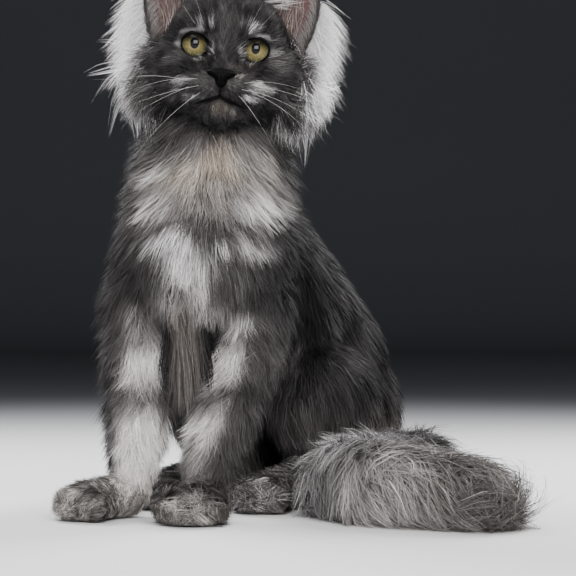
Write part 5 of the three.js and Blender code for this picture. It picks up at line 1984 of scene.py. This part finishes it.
def put_thing(name, data, place):
    """Puts a light or a camera at a place of the cat's frame."""
    thing = bpy.data.objects.new(name, data)
    bpy.context.scene.collection.objects.link(thing)
    thing.location = metres(place)
    return thing


def softbox(power, name, place, target, width, height, colour):
    """A rectangular light at a place, aimed at a target."""
    light = bpy.data.lights.new(name, "AREA")
    light.shape = "RECTANGLE"
    light.size, light.size_y = width, height
    light.energy = power
    light.color = colour
    lamp = put_thing(name, light, place)
    lamp.rotation_euler = (Vector(metres(target)) - lamp.location).to_track_quat("-Z", "Y").to_euler()


def put_floor(settings):
    """The floor, which turns up in a quarter of a circle to the backdrop and is darker behind the cat."""
    turn = np.linspace(0, math.pi / 2, 9)
    run = [-SWEEP_HALF, SWEEP_FLAT, *(SWEEP_TURN + SWEEP_ROUND * np.sin(turn)), SWEEP_TURN + SWEEP_ROUND]
    rise = [0, 0, *(SWEEP_ROUND - SWEEP_ROUND * np.cos(turn)), SWEEP_TOP]
    width = np.linspace(-SWEEP_HALF, SWEEP_HALF, 3)
    grid = np.stack(np.broadcast_arrays(width, np.array(run)[:, None], np.array(rise)[:, None]), -1)
    mesh = bpy.data.meshes.new("floor")
    mesh.from_pydata(metres(grid.reshape(-1, 3)).tolist(), [], grid_faces(len(run), 3).tolist())
    mesh.shade_smooth()
    floor = bpy.data.objects.new("floor", mesh)
    bpy.context.scene.collection.objects.link(floor)
    finish = Finish("floor", Roughness=0.85, Specular_IOR_Level=0.2)
    depth = finish.node("SeparateXYZ", None, {0: finish.place()}, 1).eased(0.1, 2.0)
    finish.set(Base_Color=finish.mix(tuple(settings.floor_colour), tuple(settings.wall_colour), depth))
    finish.dress(floor)


class CAT_OT_studio(bpy.types.Operator):
    """Sets the floor, the backdrop, the lights and the camera"""

    bl_idname = "cat.studio"
    bl_label = "Studio"

    def execute(self, context):
        settings = props_of("cat_studio")
        put_floor(settings)
        softbox(settings.key_power, *KEY_LIGHT)
        softbox(FILL_POWER, *FILL_LIGHT)
        for light in RIM_LIGHTS:
            softbox(settings.rim_power, *light)
        softbox(TOP_POWER, *TOP_LIGHT)
        world = bpy.data.worlds.new("studio")
        world.use_nodes = True
        background = world.node_tree.nodes["Background"]
        background.inputs[0].default_value = WORLD_COLOUR
        background.inputs[1].default_value = WORLD_STRENGTH
        context.scene.world = world
        camera = bpy.data.cameras.new("camera")
        camera.lens = LENS
        camera.sensor_width = 36.0
        camera.clip_end = 20
        context.scene.camera = put_thing("camera", camera, CAMERA_PLACE)
        context.scene.camera.rotation_euler = (math.pi / 2, 0, 0)
        return {"FINISHED"}


GROUPS = {
    "cat_coat": CoatSettings,
    "cat_colours": CoatColours,
    "cat_face": FaceColours,
    "cat_studio": StudioSettings,
}
STEPS = (
    CAT_OT_skin,
    CAT_OT_ears,
    CAT_OT_eyes,
    CAT_OT_lids_and_lips,
    CAT_OT_nose,
    CAT_OT_head_coat,
    CAT_OT_body_coat,
    CAT_OT_leg_coat,
    CAT_OT_tail_coat,
    CAT_OT_whiskers,
    CAT_OT_studio,
)


class CAT_PT_panel(bpy.types.Panel):
    """Lists the steps and the settings in the sidebar"""

    bl_idname = "CAT_PT_panel"
    bl_label = "Maine Coon"
    bl_space_type = "VIEW_3D"
    bl_region_type = "UI"
    bl_category = "Cat"

    def draw(self, context):
        for step in STEPS:
            self.layout.operator(step.bl_idname)
        for name, group in GROUPS.items():
            box = self.layout.box()
            for setting in group.__annotations__:
                box.prop(getattr(context.scene, name), setting)


def register():
    """Registers the settings, the operators and the panel."""
    for name, group in GROUPS.items():
        bpy.utils.register_class(group)
        setattr(bpy.types.Scene, name, bpy.props.PointerProperty(type=group))
    for step in (*STEPS, CAT_PT_panel):
        bpy.utils.register_class(step)


def unregister():
    """Takes back what register added."""
    for step in (CAT_PT_panel, *reversed(STEPS)):
        bpy.utils.unregister_class(step)
    for name, group in reversed(GROUPS.items()):
        delattr(bpy.types.Scene, name)
        bpy.utils.unregister_class(group)


def main():
    """Makes every piece in order."""
    register()
    for step in STEPS:
        family, name = step.bl_idname.split(".")
        getattr(getattr(bpy.ops, family), name)()


if __name__ == "__main__":
    main()
